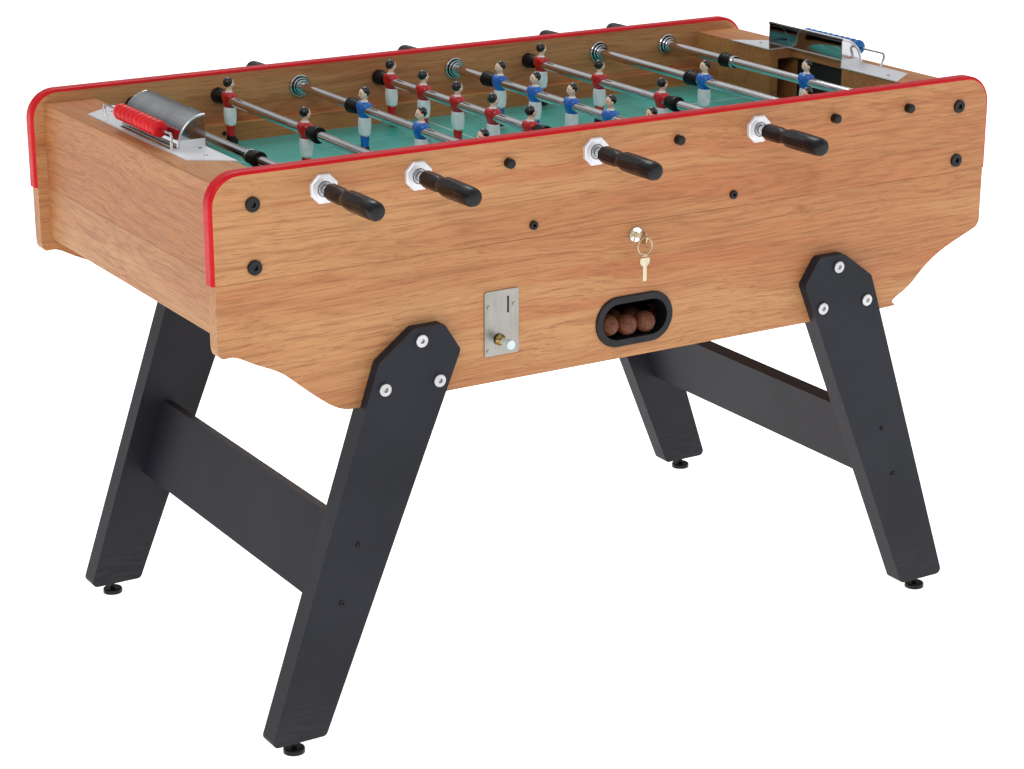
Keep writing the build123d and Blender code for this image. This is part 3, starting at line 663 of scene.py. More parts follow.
def build(
    name: str,
    shells: Iterable[Shell],
    materials: Sequence[bpy.types.Material],
    sharp: float = 35.0,
) -> bpy.types.Object:
    """Puts shells into one mesh object at the origin, closed and facing outwards.

    Args:
        name: name of the object.
        shells: surfaces in metres, in the table's own coordinates.
        materials: finishes, by the shells' finish numbers.
        sharp: edges that turn by more than this many degrees stay crisp.

    Returns:
        The object, linked to the scene.
    """
    shells = list(shells)
    counts = np.cumsum([0] + [len(shell.points) for shell in shells[:-1]])
    points = np.concatenate([shell.points for shell in shells])
    quads = np.concatenate([shell.quads + base for shell, base in zip(shells, counts)])
    finish = np.concatenate([np.full(len(shell.quads), shell.finish) for shell in shells])
    mesh = bpy.data.meshes.new(name)
    mesh.from_pydata(points, [], quads.tolist())
    mesh.polygons.foreach_set("material_index", finish.astype(np.int32))
    for material in materials:
        mesh.materials.append(material)
    work = bmesh.new()
    work.from_mesh(mesh)
    bmesh.ops.remove_doubles(work, verts=work.verts, dist=WELD)
    bmesh.ops.dissolve_degenerate(work, edges=work.edges, dist=SLIVER)
    bmesh.ops.recalc_face_normals(work, faces=work.faces)
    work.to_mesh(mesh)
    work.free()
    mesh.polygons.foreach_set("use_smooth", np.ones(len(mesh.polygons), bool))
    mesh.set_sharp_from_angle(angle=math.radians(sharp))
    made = bpy.data.objects.new(name, mesh)
    bpy.context.scene.collection.objects.link(made)
    return made


def turned(
    stations: Sequence[tuple[float, float]],
    segments: int = 48,
    facets: int = 0,
    roundness: Sequence[float] | None = None,
) -> np.ndarray:
    """Points of a profile turned about Y.

    A station is a place along Y and a radius, in millimetres.  With facets, the radius at angle a is
    the apothem divided by the cosine of the angle to the nearest facet's middle, blended to a circle by
    the roundness of that station.

    Args:
        stations: places and radii along the axis.
        segments: points round the axis.
        facets: number of flat faces, or 0 for a round piece.
        roundness: share of the circle at each station.

    Returns:
        Array (stations, segments, 3) in metres.
    """
    table = np.asarray(stations, float) * MM
    angle = np.linspace(0, 2 * np.pi, segments, endpoint=False)
    factor = np.ones((len(table), segments))
    if facets:
        sector = 2 * np.pi / facets
        off = (angle + sector / 2) % sector - sector / 2
        flat = 1 / np.cos(off)
        share = np.zeros(len(table)) if roundness is None else np.asarray(roundness, float)
        factor = flat[None, :] * (1 - share[:, None]) + ROUNDED * share[:, None]
    radius = table[:, 1:2] * factor
    x = radius * np.cos(angle)
    z = radius * np.sin(angle)
    y = np.repeat(table[:, :1], segments, axis=1)
    return np.stack([x, y, z], axis=-1)


def placed(
    rows: Sequence[tuple[float, float]],
    start: float,
    way: float,
) -> list[tuple[float, float]]:
    """Moves a profile along its axis: each reach becomes start + way * reach, and radii stay.

    Args:
        rows: reaches and radii, in millimetres.
        start: place of reach 0 on the axis.
        way: 1 or -1, the direction of the profile.

    Returns:
        Stations for a turned piece.
    """
    return [(start + way * reach, radius) for reach, radius in rows]


def stacked(
    levels: Sequence[tuple[float, float, float, float, float]],
    power: float = 2.4,
    segments: int = 32,
    cleft: float = 0.0,
    cleft_width: float = 2.6,
) -> np.ndarray:
    """Points of a body whose sections are rounded ovals stacked in Z.

    A level is height, half-width along Y, half-depth along X, shift along X and share of the cleft, in
    millimetres.  A section is the superellipse |x/b|^n + |y/a|^n = 1, and the cleft draws its front and
    back in by exp(-(y/w)^2).

    Args:
        levels: sections from one end to the other.
        power: exponent n.
        segments: points round the section.
        cleft: depth of the crease between two legs, as a share of the depth.
        cleft_width: width w of the crease.

    Returns:
        Array (levels, segments, 3) in metres.
    """
    table = np.asarray(levels, float)
    angle = np.linspace(0, 2 * np.pi, segments, endpoint=False)
    unit_x = np.sign(np.cos(angle)) * np.abs(np.cos(angle)) ** (2 / power)
    unit_y = np.sign(np.sin(angle)) * np.abs(np.sin(angle)) ** (2 / power)
    y = table[:, 1:2] * unit_y
    pinch = 1 - cleft * table[:, 4:5] * np.exp(-((y / cleft_width) ** 2))
    x = table[:, 3:4] + table[:, 2:3] * unit_x * pinch
    z = np.repeat(table[:, :1], segments, axis=1)
    return np.stack([x, y, z], axis=-1) * MM


def smoothed(levels: Sequence[Sequence[float]], count: int) -> np.ndarray:
    """Resamples rows of numbers with a Catmull-Rom curve through them.

    Args:
        levels: rows to pass through.
        count: number of rows wanted.

    Returns:
        Array (count, columns).
    """
    table = np.asarray(levels, float)
    padded = np.concatenate([2 * table[:1] - table[1:2], table, 2 * table[-1:] - table[-2:-1]])
    at = np.linspace(0, len(table) - 1, count)
    base = np.minimum(at.astype(int), len(table) - 2)
    t = (at - base)[:, None]
    a, b, c, d = (padded[base + step] for step in range(4))
    return 0.5 * (2 * b + (c - a) * t + (2 * a - 5 * b + 4 * c - d) * t**2 + (3 * b - a - 3 * c + d) * t**3)


def ellipsoid(
    centre: Sequence[float],
    radii: Sequence[float],
    rows: int = 14,
    segments: int = 24,
) -> np.ndarray:
    """Points of an ellipsoid, in metres: centre + radii * (sin p cos a, sin p sin a, cos p).

    Args:
        centre: middle, in millimetres.
        radii: half-sizes along X, Y and Z, in millimetres.
        rows: steps of the polar angle p.
        segments: steps of the angle a about Z.

    Returns:
        Array (rows, segments, 3).
    """
    polar = np.linspace(POLE_GAP, np.pi - POLE_GAP, rows)[:, None]
    around = np.linspace(0, 2 * np.pi, segments, endpoint=False)[None, :]
    x = centre[0] + radii[0] * np.sin(polar) * np.cos(around)
    y = centre[1] + radii[1] * np.sin(polar) * np.sin(around)
    z = centre[2] + radii[2] * np.cos(polar) * np.ones_like(around)
    return np.stack([x, y, z], axis=-1) * MM


# --------------------------------------------------------------------------------------
# Sub-assemblies
# --------------------------------------------------------------------------------------


class Team(Enum):
    """The two teams, by the way their figures face along X."""

    RED = 1
    BLUE = -1


def dress(nodes: Iterable[str], material: bpy.types.Material) -> None:
    """Gives carried-over pieces one finish."""
    for node in nodes:
        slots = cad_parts[node].data.materials
        slots.clear()
        slots.append(material)
        LOG.info("dressed %s with %s", node, material.name)


def settle(piece: bpy.types.Object, body: str, slot: str, *nodes: str) -> None:
    """Makes a piece ride on a body and stand for its nodes."""
    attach(piece, body)
    if nodes:
        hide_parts(*nodes)
    LOG.info("built %s on %s", piece.name, body)


@dataclass
class Cabinet:
    """Boards, legs and fittings that keep their own shape, and the pieces added to them."""

    half_length: float = 710.0
    top: float = 900.0
    bottom: float = 741.75
    inner: float = 331.0
    outer: float = 356.0
    trim: float = 5.0
    corner: float = 48.0
    guard_screw_height: float = 797.0
    guard_screws: tuple[float, ...] = (-376.0, 0.0, 376.0)
    plate_height: float = 881.5
    hood_face: float = 599.0
    hood_depth: float = 46.0
    hood_rise: float = 49.5
    hood_half: float = 103.0
    rim_radius: float = 2.2
    plate_screw: float = 3.4
    plate_screws: tuple[tuple[float, float], ...] = ((611.0, 110.0), (624.0, 160.0), (620.0, -203.0))
    knob_tip: float = 0.42

    def dress_boards(self) -> None:
        """Laminates every board."""
        ends = OakLaminate(
            "oak_upper_boards", Grain.BY_PLACE, seed=1.9, pale=srgb(194, 138, 84), body=srgb(180, 118, 70)
        )
        lower = OakLaminate("oak_lower_boards", Grain.CROSSWAYS, seed=5.3)
        dress(["upper_front_panel", "upper_rear_panel"], OakLaminate("oak_upper_sides", seed=3.1).material())
        dress(["lower_front_panel", "lower_rear_panel"], OakLaminate("oak_lower_sides", seed=8.7).material())
        dress(["upper_boards"], ends.material())
        dress(["lower_boards"], lower.material())

    def dress_fittings(self) -> None:
        """Faces the legs, and plates, blackens or polishes the fittings."""
        low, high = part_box("coin_knob")
        tip_from = low.y + self.knob_tip * (high.y - low.y)
        hinges = ["hinge_lower_leaves", "hinge_upper_leaves"]
        finishes = [
            (["legs", "leg_stretchers"], LegBlack()),
            (["leg_bolts"], Metal("bolt_zinc", srgb(196, 196, 198), 0.28, 0.12)),
            (["stretcher_screws"], GlossPlastic("screw_black_satin", srgb(8, 8, 9), srgb(16, 16, 17), 0.3)),
            (["cabinet_bolts"], GlossPlastic("bolt_black", srgb(7, 7, 8), srgb(14, 14, 15), 0.28)),
            (["levelling_feet"], GlossPlastic("foot_black", srgb(12, 12, 13), srgb(20, 20, 22), 0.45)),
            (["ball_return_cup"], GlossPlastic("cup_black", srgb(20, 21, 26), srgb(13, 14, 18), 0.38)),
            (["coin_plate"], Metal("coin_plate_steel", srgb(160, 158, 152), 0.28, 0.1, (400, 40, 12))),
            (["coin_knob"], TippedKnob(tip_from)),
            (["lock_barrel"], Metal("lock_chrome", srgb(226, 226, 228), 0.08, 0.06)),
            (["lock_key"], Metal("key_brass", srgb(206, 196, 168), 0.16, 0.1)),
            (hinges, Metal("hinge_steel", srgb(190, 190, 192), 0.26, 0.12)),
            (["rod_end_caps"], GlossPlastic("cap_black", srgb(6, 6, 7), srgb(12, 12, 13), 0.3)),
            (["inner_rods"], Metal("inner_rod_chrome", srgb(222, 222, 224), 0.07, 0.05, (40, 8, 40))),
            (["goal_hoods"], HoodSteel()),
            (["playfield"], PitchBoard()),
        ]
        for nodes, finish in finishes:
            dress(nodes, finish.material())

    def outline(self, steps: int = 14) -> tuple[np.ndarray, np.ndarray]:
        """Places and outward directions along the board's edge, up one end, over the top and down the other.

        Args:
            steps: points on each rounded corner.

        Returns:
            Two arrays (points, 2) of X and Z, in millimetres and as unit vectors.
        """
        radius = self.corner - self.trim
        half = self.half_length - self.trim
        top = self.top - self.trim
        turn = np.linspace(0, np.pi / 2, steps)
        away = np.stack([-np.cos(turn), np.sin(turn)], axis=1)
        left = np.array([-(half - radius), top - radius]) + radius * away
        start = np.stack([np.full(6, -half), np.linspace(self.bottom, top - radius, 7)[:-1]], axis=1)
        straight = np.linspace(-(half - radius), half - radius, 25)[1:-1]
        over = np.stack([straight, np.full(len(straight), top)], axis=1)
        right = left[::-1] * np.array([-1, 1])
        end = start[::-1] * np.array([-1, 1])
        places = np.concatenate([start, left, over, right, end])
        sides = np.tile([[-1.0, 0.0]], (len(start), 1))
        ups = np.tile([[0.0, 1.0]], (len(over), 1))
        directions = np.concatenate([sides, away, ups, away[::-1] * np.array([-1, 1]), -sides])
        return places, directions

    def build_trims(self, material: bpy.types.Material) -> None:
        """Makes the two edge bands: a low cushion-shaped profile carried round the outline.

        At share s across the panel's thickness, the band stands out by trim * (1 - |2s - 1|^7)^(1/2).
        """
        places, directions = self.outline()
        share = np.linspace(0, 1, 17)
        rise = self.trim * np.sqrt(np.clip(1 - np.abs(2 * share - 1) ** 7, 0, 1))
        for side, name in ((-1, "edge_trim_front"), (1, "edge_trim_rear")):
            across = side * (self.inner + (self.outer - self.inner) * share)
            rise_loop = np.concatenate([rise, np.full(2, -0.05)])
            across_loop = np.concatenate([across, [across[-1] - side * 0.5, across[0] + side * 0.5]])
            x = places[:, 0:1] + directions[:, 0:1] * rise_loop
            z = places[:, 1:2] + directions[:, 1:2] * rise_loop
            y = np.repeat(across_loop[None, :], len(places), axis=0)
            points = np.stack([x, y, z], axis=-1) * MM
            piece = build(name, [Shell.grid(points, True, True)], [material], 50)
            settle(piece, "upper_cabinet", "red_trim", *(["edge_trims"] if side < 0 else []))

    def build_guard_screws(self, material: bpy.types.Material) -> None:
        """Makes the black pan-head screws that hold the side guards."""
        profile = [(0.0, 4.2), (1.2, 4.0), (2.0, 3.0), (2.4, 1.6), (1.4, 1.2), (1.4, 0.3)]
        for side, name in ((1, "guard_screws_rear"), (-1, "guard_screws_front")):
            shape = turned(placed(profile, 0.0, -side), 20)
            face = side * (self.inner - 10.0)
            shells = [
                Shell.grid(shape + np.array([x, face, self.guard_screw_height]) * MM, True, True)
                for x in self.guard_screws
            ]
            settle(build(name, shells, [material]), "upper_cabinet", "black_bolt")

    def build_plate_screws(self, material: bpy.types.Material) -> None:
        """Makes the small domed screws in the hoods' base plates."""
        across = np.linspace(0.02, np.pi / 2, 6)
        radius = np.concatenate([self.plate_screw * np.sin(across), [self.plate_screw]])
        rise = np.concatenate([1.4 * np.cos(across), [-0.3]])
        around = np.linspace(0, 2 * np.pi, 20, endpoint=False)
        x = radius[:, None] * np.cos(around)
        y = radius[:, None] * np.sin(around)
        z = np.repeat(rise[:, None], len(around), axis=1)
        dome = np.stack([x, y, z], axis=-1)
        spots = [
            np.array([end * along, end * across, self.plate_height])
            for end in (-1, 1)
            for along, across in self.plate_screws
        ]
        shells = [Shell.grid((dome + spot) * MM, True, True) for spot in spots]
        settle(build("plate_screws", shells, [material], 60), "upper_cabinet", "chrome")

    def build_hood_rims(self, material: bpy.types.Material) -> None:
        """Makes the bright bead along the curved edge of each hood's end plates.

        The path is the hood's own quarter ellipse, and the section a circle square to it.
        """
        turn = np.linspace(0.0, np.pi / 2, 24)
        reach = np.cos(turn) * (self.hood_depth - self.rim_radius)
        rise = np.sin(turn) * (self.hood_rise - self.rim_radius)
        out = np.stack([np.cos(turn) * self.hood_rise, np.sin(turn) * self.hood_depth], axis=1)
        out = out / np.linalg.norm(out, axis=1, keepdims=True)
        around = np.linspace(0, 2 * np.pi, 14, endpoint=False)
        shells = []
        for end in (-1, 1):
            for side in (-1, 1):
                swing = self.rim_radius * np.cos(around)
                x = end * (self.hood_face + reach[:, None] + out[:, 0:1] * swing)
                z = self.plate_height + rise[:, None] + out[:, 1:2] * swing
                across = side * self.hood_half + self.rim_radius * np.sin(around)
                y = np.repeat(across[None, :], len(turn), axis=0)
                shells.append(Shell.grid(np.stack([x, y, z], axis=-1) * MM, True, True))
        settle(build("hood_rims", shells, [material], 60), "upper_cabinet", "chrome")

    def make(self) -> None:
        """Dresses and builds everything on the cabinet."""
        self.dress_boards()
        self.dress_fittings()
        trim = GlossPlastic("trim_red", srgb(206, 16, 30), srgb(194, 12, 26), 0.34, 0.03, 0.0, 0.18)
        screw = GlossPlastic("screw_black", srgb(20, 18, 18), srgb(30, 28, 28), 0.4)
        self.build_trims(trim.material())
        self.build_hood_rims(Metal("rim_chrome", srgb(226, 228, 232), 0.12, 0.08).material())
        self.build_plate_screws(Metal("plate_screw_steel", srgb(150, 152, 156), 0.2, 0.1).material())
        self.build_guard_screws(screw.material())


@dataclass
class Rods:
    """The eight telescopic rods: tubes, figures, grips and bumpers, in millimetres."""

    pitch: float = 152.7
    height: float = 861.5
    inner: float = 331.0
    outer: float = 356.0
    counts: tuple[int, ...] = (1, 2, 3, 5, 5, 3, 2, 1)
    sides: tuple[int, ...] = (-1, -1, 1, -1, 1, -1, 1, 1)
    spacings: dict[int, float] = field(default_factory=lambda: {1: 0.0, 2: 281.0, 3: 188.5, 5: 114.0})
    bumper_length: float = 30.0
    bumper_gap: float = 1.0
    bumper_offset: float = 32.0
    goalie_offset: float = 226.0
    grip_start: float = 379.0
    tube_radius: float = 8.0
    tube_bore: float = 6.05
    tube_far: float = 330.0
    tube_near: float = 418.5

    def layout(self, index: int) -> tuple[float, list[float], list[float]]:
        """Where one rod's pieces stand.

        Args:
            index: number of the rod from the left, from 0.

        Returns:
            The rod's X, its figures' Y places and its two bumpers' Y places.
        """
        side = self.sides[index]
        count = self.counts[index]
        x = (index - 3.5) * self.pitch
        far = -side * (self.inner - self.bumper_gap - self.bumper_length / 2)
        offset = self.goalie_offset if count == 1 else self.bumper_offset
        figures = [far + side * (offset + step * self.spacings[count]) for step in range(count)]
        return x, figures, [far, figures[-1] + side * offset]

    def figure(self, team: Team) -> list[Shell]:
        """One moulded figure about the rod's axis, as closed shells with a finish number each.

        Finishes: 0 skin, 1 hair and eyes, 2 shirt, 3 shorts, 4 socks, 5 boots, 6 collar.
        """
        flip = np.array([float(team.value), 1.0, 1.0])

        def zone(levels: Sequence[Sequence[float]], rows: int, finish: int, *shape: float) -> Shell:
            """A stack of rounded sections, resampled to more rows."""
            return Shell.grid(stacked(smoothed(levels, rows), *shape) * flip, True, True, finish)

        def lump(centre: Sequence[float], radii: Sequence[float], finish: int, *steps: int) -> Shell:
            """An ellipsoid."""
            return Shell.grid(ellipsoid(centre, radii, *steps) * flip, True, True, finish)

        shirt = [
            (13.4, 4.4, 4.2, -0.3, 0), (12.6, 9.0, 6.8, -0.2, 0), (10.2, 12.8, 9.4, 0, 0),
            (5.5, 13.6, 10.8, 0.2, 0), (0.0, 13.5, 11.1, 0.3, 0), (-5.0, 12.7, 10.6, 0.2, 0),
            (-9.0, 11.4, 9.2, 0, 0), (-12.0, 10.5, 8.4, 0, 0), (-13.2, 10.2, 8.0, 0, 0),
        ]
        shorts = [
            (-11.6, 9.9, 7.9, 0, 0), (-14.0, 10.9, 9.0, 0, 0), (-22.0, 11.7, 9.7, 0, 0.2),
            (-31.0, 11.7, 9.3, 0.2, 0.7), (-38.0, 11.1, 8.2, 0.3, 1.0), (-41.0, 10.6, 7.6, 0.3, 1.0),
            (-41.8, 9.6, 6.6, 0.3, 1.0),
        ]
        knees = [(-40.0, 8.7, 5.7, 0.3, 1), (-43.0, 8.3, 5.4, 0.4, 1), (-46.0, 8.2, 5.3, 0.3, 1)]
        socks = [
            (-43.6, 8.4, 5.5, 0.3, 1), (-44.4, 9.1, 6.3, 0.3, 1), (-50.0, 9.1, 6.4, 0.1, 1),
            (-56.0, 8.4, 5.7, 0.2, 1), (-62.0, 8.4, 5.9, 0.6, 1),
        ]
        boots = [
            (-60.2, 8.7, 6.2, 0.7, 0.9), (-64.0, 9.3, 7.8, 1.6, 0.7), (-69.0, 9.8, 9.4, 2.2, 0.5),
            (-73.0, 9.8, 9.6, 2.2, 0.4), (-74.4, 9.0, 8.8, 2.2, 0.4),
        ]
        neck = [(11.5, 5.2, 5.0, -0.6, 0), (15.0, 4.6, 4.6, -0.4, 0), (20.0, 4.6, 4.8, 0, 0)]
        collar = [(12.2, 6.4, 5.9, -0.4, 0), (13.6, 6.9, 6.2, -0.4, 0), (15.4, 5.6, 5.2, -0.4, 0)]
        shells = [
            zone(shirt, 22, 2, 2.6, 36),
            zone(shorts, 18, 3, 2.7, 36, 0.2),
            zone(knees, 5, 0, 2.2, 28, 0.5, 2.2),
            zone(socks, 12, 4, 2.3, 28, 0.5, 2.2),
            zone(boots, 12, 5, 2.6, 28, 0.45, 1.8),
            zone(neck, 8, 0, 2.0, 20),
            zone(collar, 7, 6, 2.0, 24),
            lump((1.0, 0, 26.4), (7.9, 7.6, 9.4), 0),
            lump((-1.7, 0, 29.2), (8.3, 8.7, 8.8), 1),
            lump((9.0, 0, 25.0), (1.6, 1.3, 2.3), 0, 8, 12),
        ]
        for side in (-1, 1):
            sleeve = lump((0.0, side * 11.4, 4.6), (9.3, 5.4, 8.8), 2)
            ear = lump((1.2, side * 7.7, 25.4), (1.7, 1.2, 2.7), 0, 8, 12)
            eye = lump((7.6, side * 3.2, 27.6), (1.1, 1.2, 0.8), 1, 6, 10)
            shells.extend([sleeve, ear, eye])
        return shells

    def grip(self, side: int) -> np.ndarray:
        """Points of one grip: eight-sided collar, round neck, flats cut in the body and a blunt end."""
        stations = [
            (0.0, 8.4, 1.0), (0.2, 10.2, 0.5), (2.6, 11.9, 0.15), (35.0, 11.9, 0.1), (40.0, 11.6, 0.4),
            (46.0, 10.9, 0.95), (50.0, 11.4, 0.95), (54.0, 12.6, 0.6), (56.0, 13.2, 0.0),
            (75.0, 13.7, 0.0), (109.0, 13.5, 0.0), (110.4, 14.2, 1.0), (124.0, 14.0, 1.0),
            (133.0, 13.6, 1.0), (138.0, 12.4, 1.0), (141.0, 10.2, 1.0), (142.0, 7.6, 1.0),
            (142.0, 1.0, 1.0),
        ]
        rows = placed([station[:2] for station in stations], side * self.grip_start, side)
        return turned(rows, 64, 8, [station[2] for station in stations])

    def bumper(self, centre: float, outward: int) -> np.ndarray:
        """Points of one ribbed bumper: a hollow turned profile with three rounded ribs."""
        rows = [
            (-15.0, 8.1), (-15.0, 9.4), (-14.2, 10.2), (-9.0, 11.0), (-8.2, 10.2), (-7.2, 10.2),
            (-6.4, 11.4), (-1.6, 12.1), (-0.8, 11.1), (0.2, 11.1), (1.0, 12.4), (6.4, 12.9),
            (7.2, 11.7), (8.2, 11.7), (9.0, 13.1), (13.8, 13.2), (14.7, 12.6), (15.0, 11.8),
            (15.0, 8.1),
        ]
        return turned(placed(rows + rows[:1], centre, outward), 40)

    def tube(self, side: int) -> np.ndarray:
        """Points of one hollow tube from just inside the far wall to the socket of its grip."""
        far, near = -side * self.tube_far, side * self.tube_near
        rim = 0.5 * side
        rows = [
            (far, self.tube_bore),
            (far, self.tube_radius - 0.5),
            (far + rim, self.tube_radius),
            (near - rim, self.tube_radius),
            (near, self.tube_radius - 0.5),
            (near, self.tube_bore),
            (far, self.tube_bore),
        ]
        return turned(rows, 48)

    def escutcheon(self, side: int) -> np.ndarray:
        """Points of one eight-sided plate with bevelled edges and a round bore, on the outer face."""
        rows = [
            (0.0, 8.2, 1.0), (0.0, 21.0, 0.0), (5.4, 21.0, 0.0), (7.0, 19.4, 0.0), (7.0, 9.4, 1.0),
            (6.2, 9.0, 1.0), (6.2, 8.2, 1.0), (0.0, 8.2, 1.0),
        ]
        stations = placed([row[:2] for row in rows], side * self.outer, side)
        return turned(stations, 64, 8, [row[2] for row in rows])

    def hub(self, side: int) -> tuple[np.ndarray, list[np.ndarray]]:
        """Points of one stepped hub on the inner face, and of the dark rings painted as shade in its two
        grooves.
        """
        rows = [
            (0.0, 8.1), (0.0, 18.6), (0.6, 19.0), (4.8, 19.0), (5.8, 18.0), (5.8, 16.6), (3.6, 16.4),
            (3.6, 15.0), (10.0, 15.0), (10.8, 14.2), (10.8, 13.2), (9.0, 13.0), (9.0, 12.0),
            (14.0, 12.0), (14.8, 11.2), (14.8, 8.1), (0.0, 8.1),
        ]
        wall = side * self.inner
        body = turned(placed(rows, wall, -side), 56)
        rings = []
        # painted shade: dark rings set in the two grooves, where the hollows would be shaded
        for front, outer in ((4.4, 16.6), (9.6, 13.2)):
            back = front - 0.6
            bore = outer - 1.7
            ring = [(front, outer), (front, bore), (back, bore), (back, outer), (front, outer)]
            rings.append(turned(placed(ring, wall, -side), 48))
        return body, rings

    def build_bushes(self) -> None:
        """Builds the plates outside and the stepped hubs inside, one set for the whole cabinet."""
        plate = Metal("plate_bright", srgb(236, 236, 240), 0.3, 0.1, (90, 90, 90), 0.02, 0.35).material()
        chrome = Metal("hub_chrome", srgb(214, 216, 220), 0.08, 0.06).material()
        # painted shade: a dark finish for the groove rings and the ring at the plate's bore, standing in for
        # the shade in those hollows
        dark = GlossPlastic("groove_painted_shade", srgb(14, 14, 16), srgb(22, 22, 24), 0.5).material()
        bore_shade = [(6.8, 11.6), (7.5, 11.6), (7.5, 10.4), (6.8, 10.4), (6.8, 11.6)]
        shells = []
        for index, side in enumerate(self.sides):
            axis = np.array([(index - 3.5) * self.pitch, 0.0, self.height]) * MM
            body, rings = self.hub(side)
            shells.append(Shell.grid(self.escutcheon(side) + axis, True, False, 0))
            shells.append(Shell.grid(body + axis, True, False, 1))
            shells.extend(Shell.grid(ring + axis, True, False, 2) for ring in rings)
            bore_shade_ring = turned(placed(bore_shade, side * self.outer, side), 40)
            shells.append(Shell.grid(bore_shade_ring + axis, True, False, 2))
        piece = build("bushes_turned", shells, [plate, chrome, dark], 30)
        settle(piece, "upper_cabinet", "chrome", "rod_bushes")

    def build_collars(self, material: bpy.types.Material) -> None:
        """Builds the two clamped stop collars on each goalkeeper's rod."""
        rows = [(0.0, 8.1), (0.0, 10.6), (0.8, 11.4), (5.2, 11.4), (6.0, 10.6), (6.0, 8.1), (0.0, 8.1)]
        for index in (0, len(self.sides) - 1):
            x, _, bumpers = self.layout(index)
            axis = np.array([x, 0.0, self.height]) * MM
            inward = [-math.copysign(1.0, y) for y in bumpers]
            shells = []
            for y, way in zip(bumpers, inward):
                start = y + way * (self.bumper_length / 2 + 0.2)
                shells.append(Shell.grid(turned(placed(rows, start, way), 40) + axis, True, False))
            piece = build(f"stop_collars_rod_{index + 1}", shells, [material], 30)
            settle(piece, f"rod_{index + 1}_slider", "chrome")

    def make(self) -> None:
        """Builds and dresses all eight rods."""
        chrome = Metal("tube_chrome", srgb(214, 214, 216), 0.07, 0.05, (40, 8, 40), 0.01).material()
        grip_black = GlossPlastic("grip_black", srgb(15, 15, 21), srgb(9, 9, 13), 0.32, 0.06, 0.05).material()
        rubber = Rubber().material()
        skin = FigurePaint("figure_skin", srgb(246, 214, 190), srgb(238, 196, 168)).material()
        hair = FigurePaint("figure_hair", srgb(8, 6, 7), srgb(16, 13, 14)).material()
        white = FigurePaint("figure_white", srgb(244, 246, 248), srgb(226, 232, 236)).material()
        boot = FigurePaint("figure_boot", srgb(8, 9, 12), srgb(16, 18, 22)).material()
        kits = {
            Team.RED: FigurePaint("figure_red", srgb(206, 10, 22), srgb(176, 6, 14)).material(),
            Team.BLUE: FigurePaint("figure_blue", srgb(10, 112, 204), srgb(6, 88, 182)).material(),
        }
        for index, side in enumerate(self.sides):
            number = index + 1
            team = Team.RED if side < 0 else Team.BLUE
            x, figures, bumpers = self.layout(index)
            axis = np.array([x, 0.0, self.height]) * MM
            tube = Shell.grid(self.tube(side) + axis, True, False)
            piece = build(f"tube_turned_rod_{number}", [tube], [chrome], 30)
            settle(piece, f"rod_{number}", "chrome", f"rod_{number}_tube")
            model = self.figure(team)
            shells = [shell.moved(axis + np.array([0, y, 0]) * MM) for y in figures for shell in model]
            kit = kits[team]
            piece = build(f"figures_rod_{number}", shells, [skin, hair, kit, white, kit, boot, white], 50)
            slot = "red_figure" if team is Team.RED else "blue_figure"
            settle(piece, f"rod_{number}", slot, f"rod_{number}_players")
            grip = Shell.grid(self.grip(side) + axis, True, True)
            piece = build(f"grip_rod_{number}", [grip], [grip_black], 30)
            settle(piece, f"rod_{number}", "black_plastic", f"rod_{number}_handle")
            rings = [
                Shell.grid(self.bumper(bumpers[0], -side) + axis, True, False),
                Shell.grid(self.bumper(bumpers[1], side) + axis, True, False),
            ]
            piece = build(f"bumpers_rod_{number}", rings, [rubber], 40)
            settle(piece, f"rod_{number}_slider", "black_rubber", f"rod_{number}_bumpers")
        self.build_bushes()
        self.build_collars(chrome)


@dataclass
class Scores:
    """Score beads on the wires behind the hoods, in millimetres."""

    wire_x: float = 656.0
    height: float = 907.0
    count: int = 10
    length: float = 15.6
    start: float = -72.0

    def bead(self) -> np.ndarray:
        """Points of one bead: a fat ring with a raised rib in the middle."""
        rows = [
            (-7.6, 2.4), (-7.6, 8.6), (-6.9, 10.6), (-5.0, 12.2), (-2.4, 12.6), (-1.4, 13.0),
            (1.4, 13.0), (2.4, 12.6), (5.0, 12.2), (6.9, 10.6), (7.6, 8.6), (7.6, 2.4),
        ]
        return turned(rows + rows[:1], 32)

    def make(self) -> None:
        """Builds both sets of beads."""
        red = GlossPlastic("bead_red", srgb(226, 16, 26), srgb(198, 8, 18), 0.34, 0.02, 0.0).material()
        blue = GlossPlastic("bead_blue", srgb(18, 118, 190), srgb(12, 98, 172), 0.34, 0.02, 0.0).material()
        sets = ((-1, "red_score_beads", red, "red_bead"), (1, "blue_score_beads", blue, "blue_bead"))
        for end, name, material, slot in sets:
            places = -end * (self.start + (np.arange(self.count) + 0.5) * self.length)
            shells = [
                Shell.grid(self.bead() + np.array([end * self.wire_x, y, self.height]) * MM, True, False)
                for y in places
            ]
            settle(build(name + "_turned", shells, [material], 50), name, slot, name)


@dataclass
class BallReturn:
    """The loose balls, in millimetres."""

    radius: float = 17.0
    places: tuple[tuple[float, float], ...] = (
        (-40.0, -343.0), (-5.5, -343.0), (29.0, -343.0), (-9.0, -308.4), (26.0, -308.4),
    )
    cup_height: float = 586.0
    mouth_radius: float = 29.0
    mouth_half: float = 60.0
    play: float = 0.1

    def make(self) -> None:
        """Builds the balls at the heights where they rest on the racetrack-shaped mouth."""
        spots = np.array(self.places)
        room = self.mouth_radius - self.radius - self.play
        past = np.clip(np.abs(spots[:, 0]) - (self.mouth_half - self.mouth_radius), 0, None)
        heights = self.cup_height - np.sqrt(room**2 - past**2)
        shells = [
            Shell.grid(ellipsoid((x, y, z), (self.radius,) * 3, 20, 32), True, True)
            for (x, y), z in zip(self.places, heights)
        ]
        piece = build("return_balls", shells, [CorkBall().material()], 60)
        settle(piece, "loose_balls", "cork_ball", "balls")


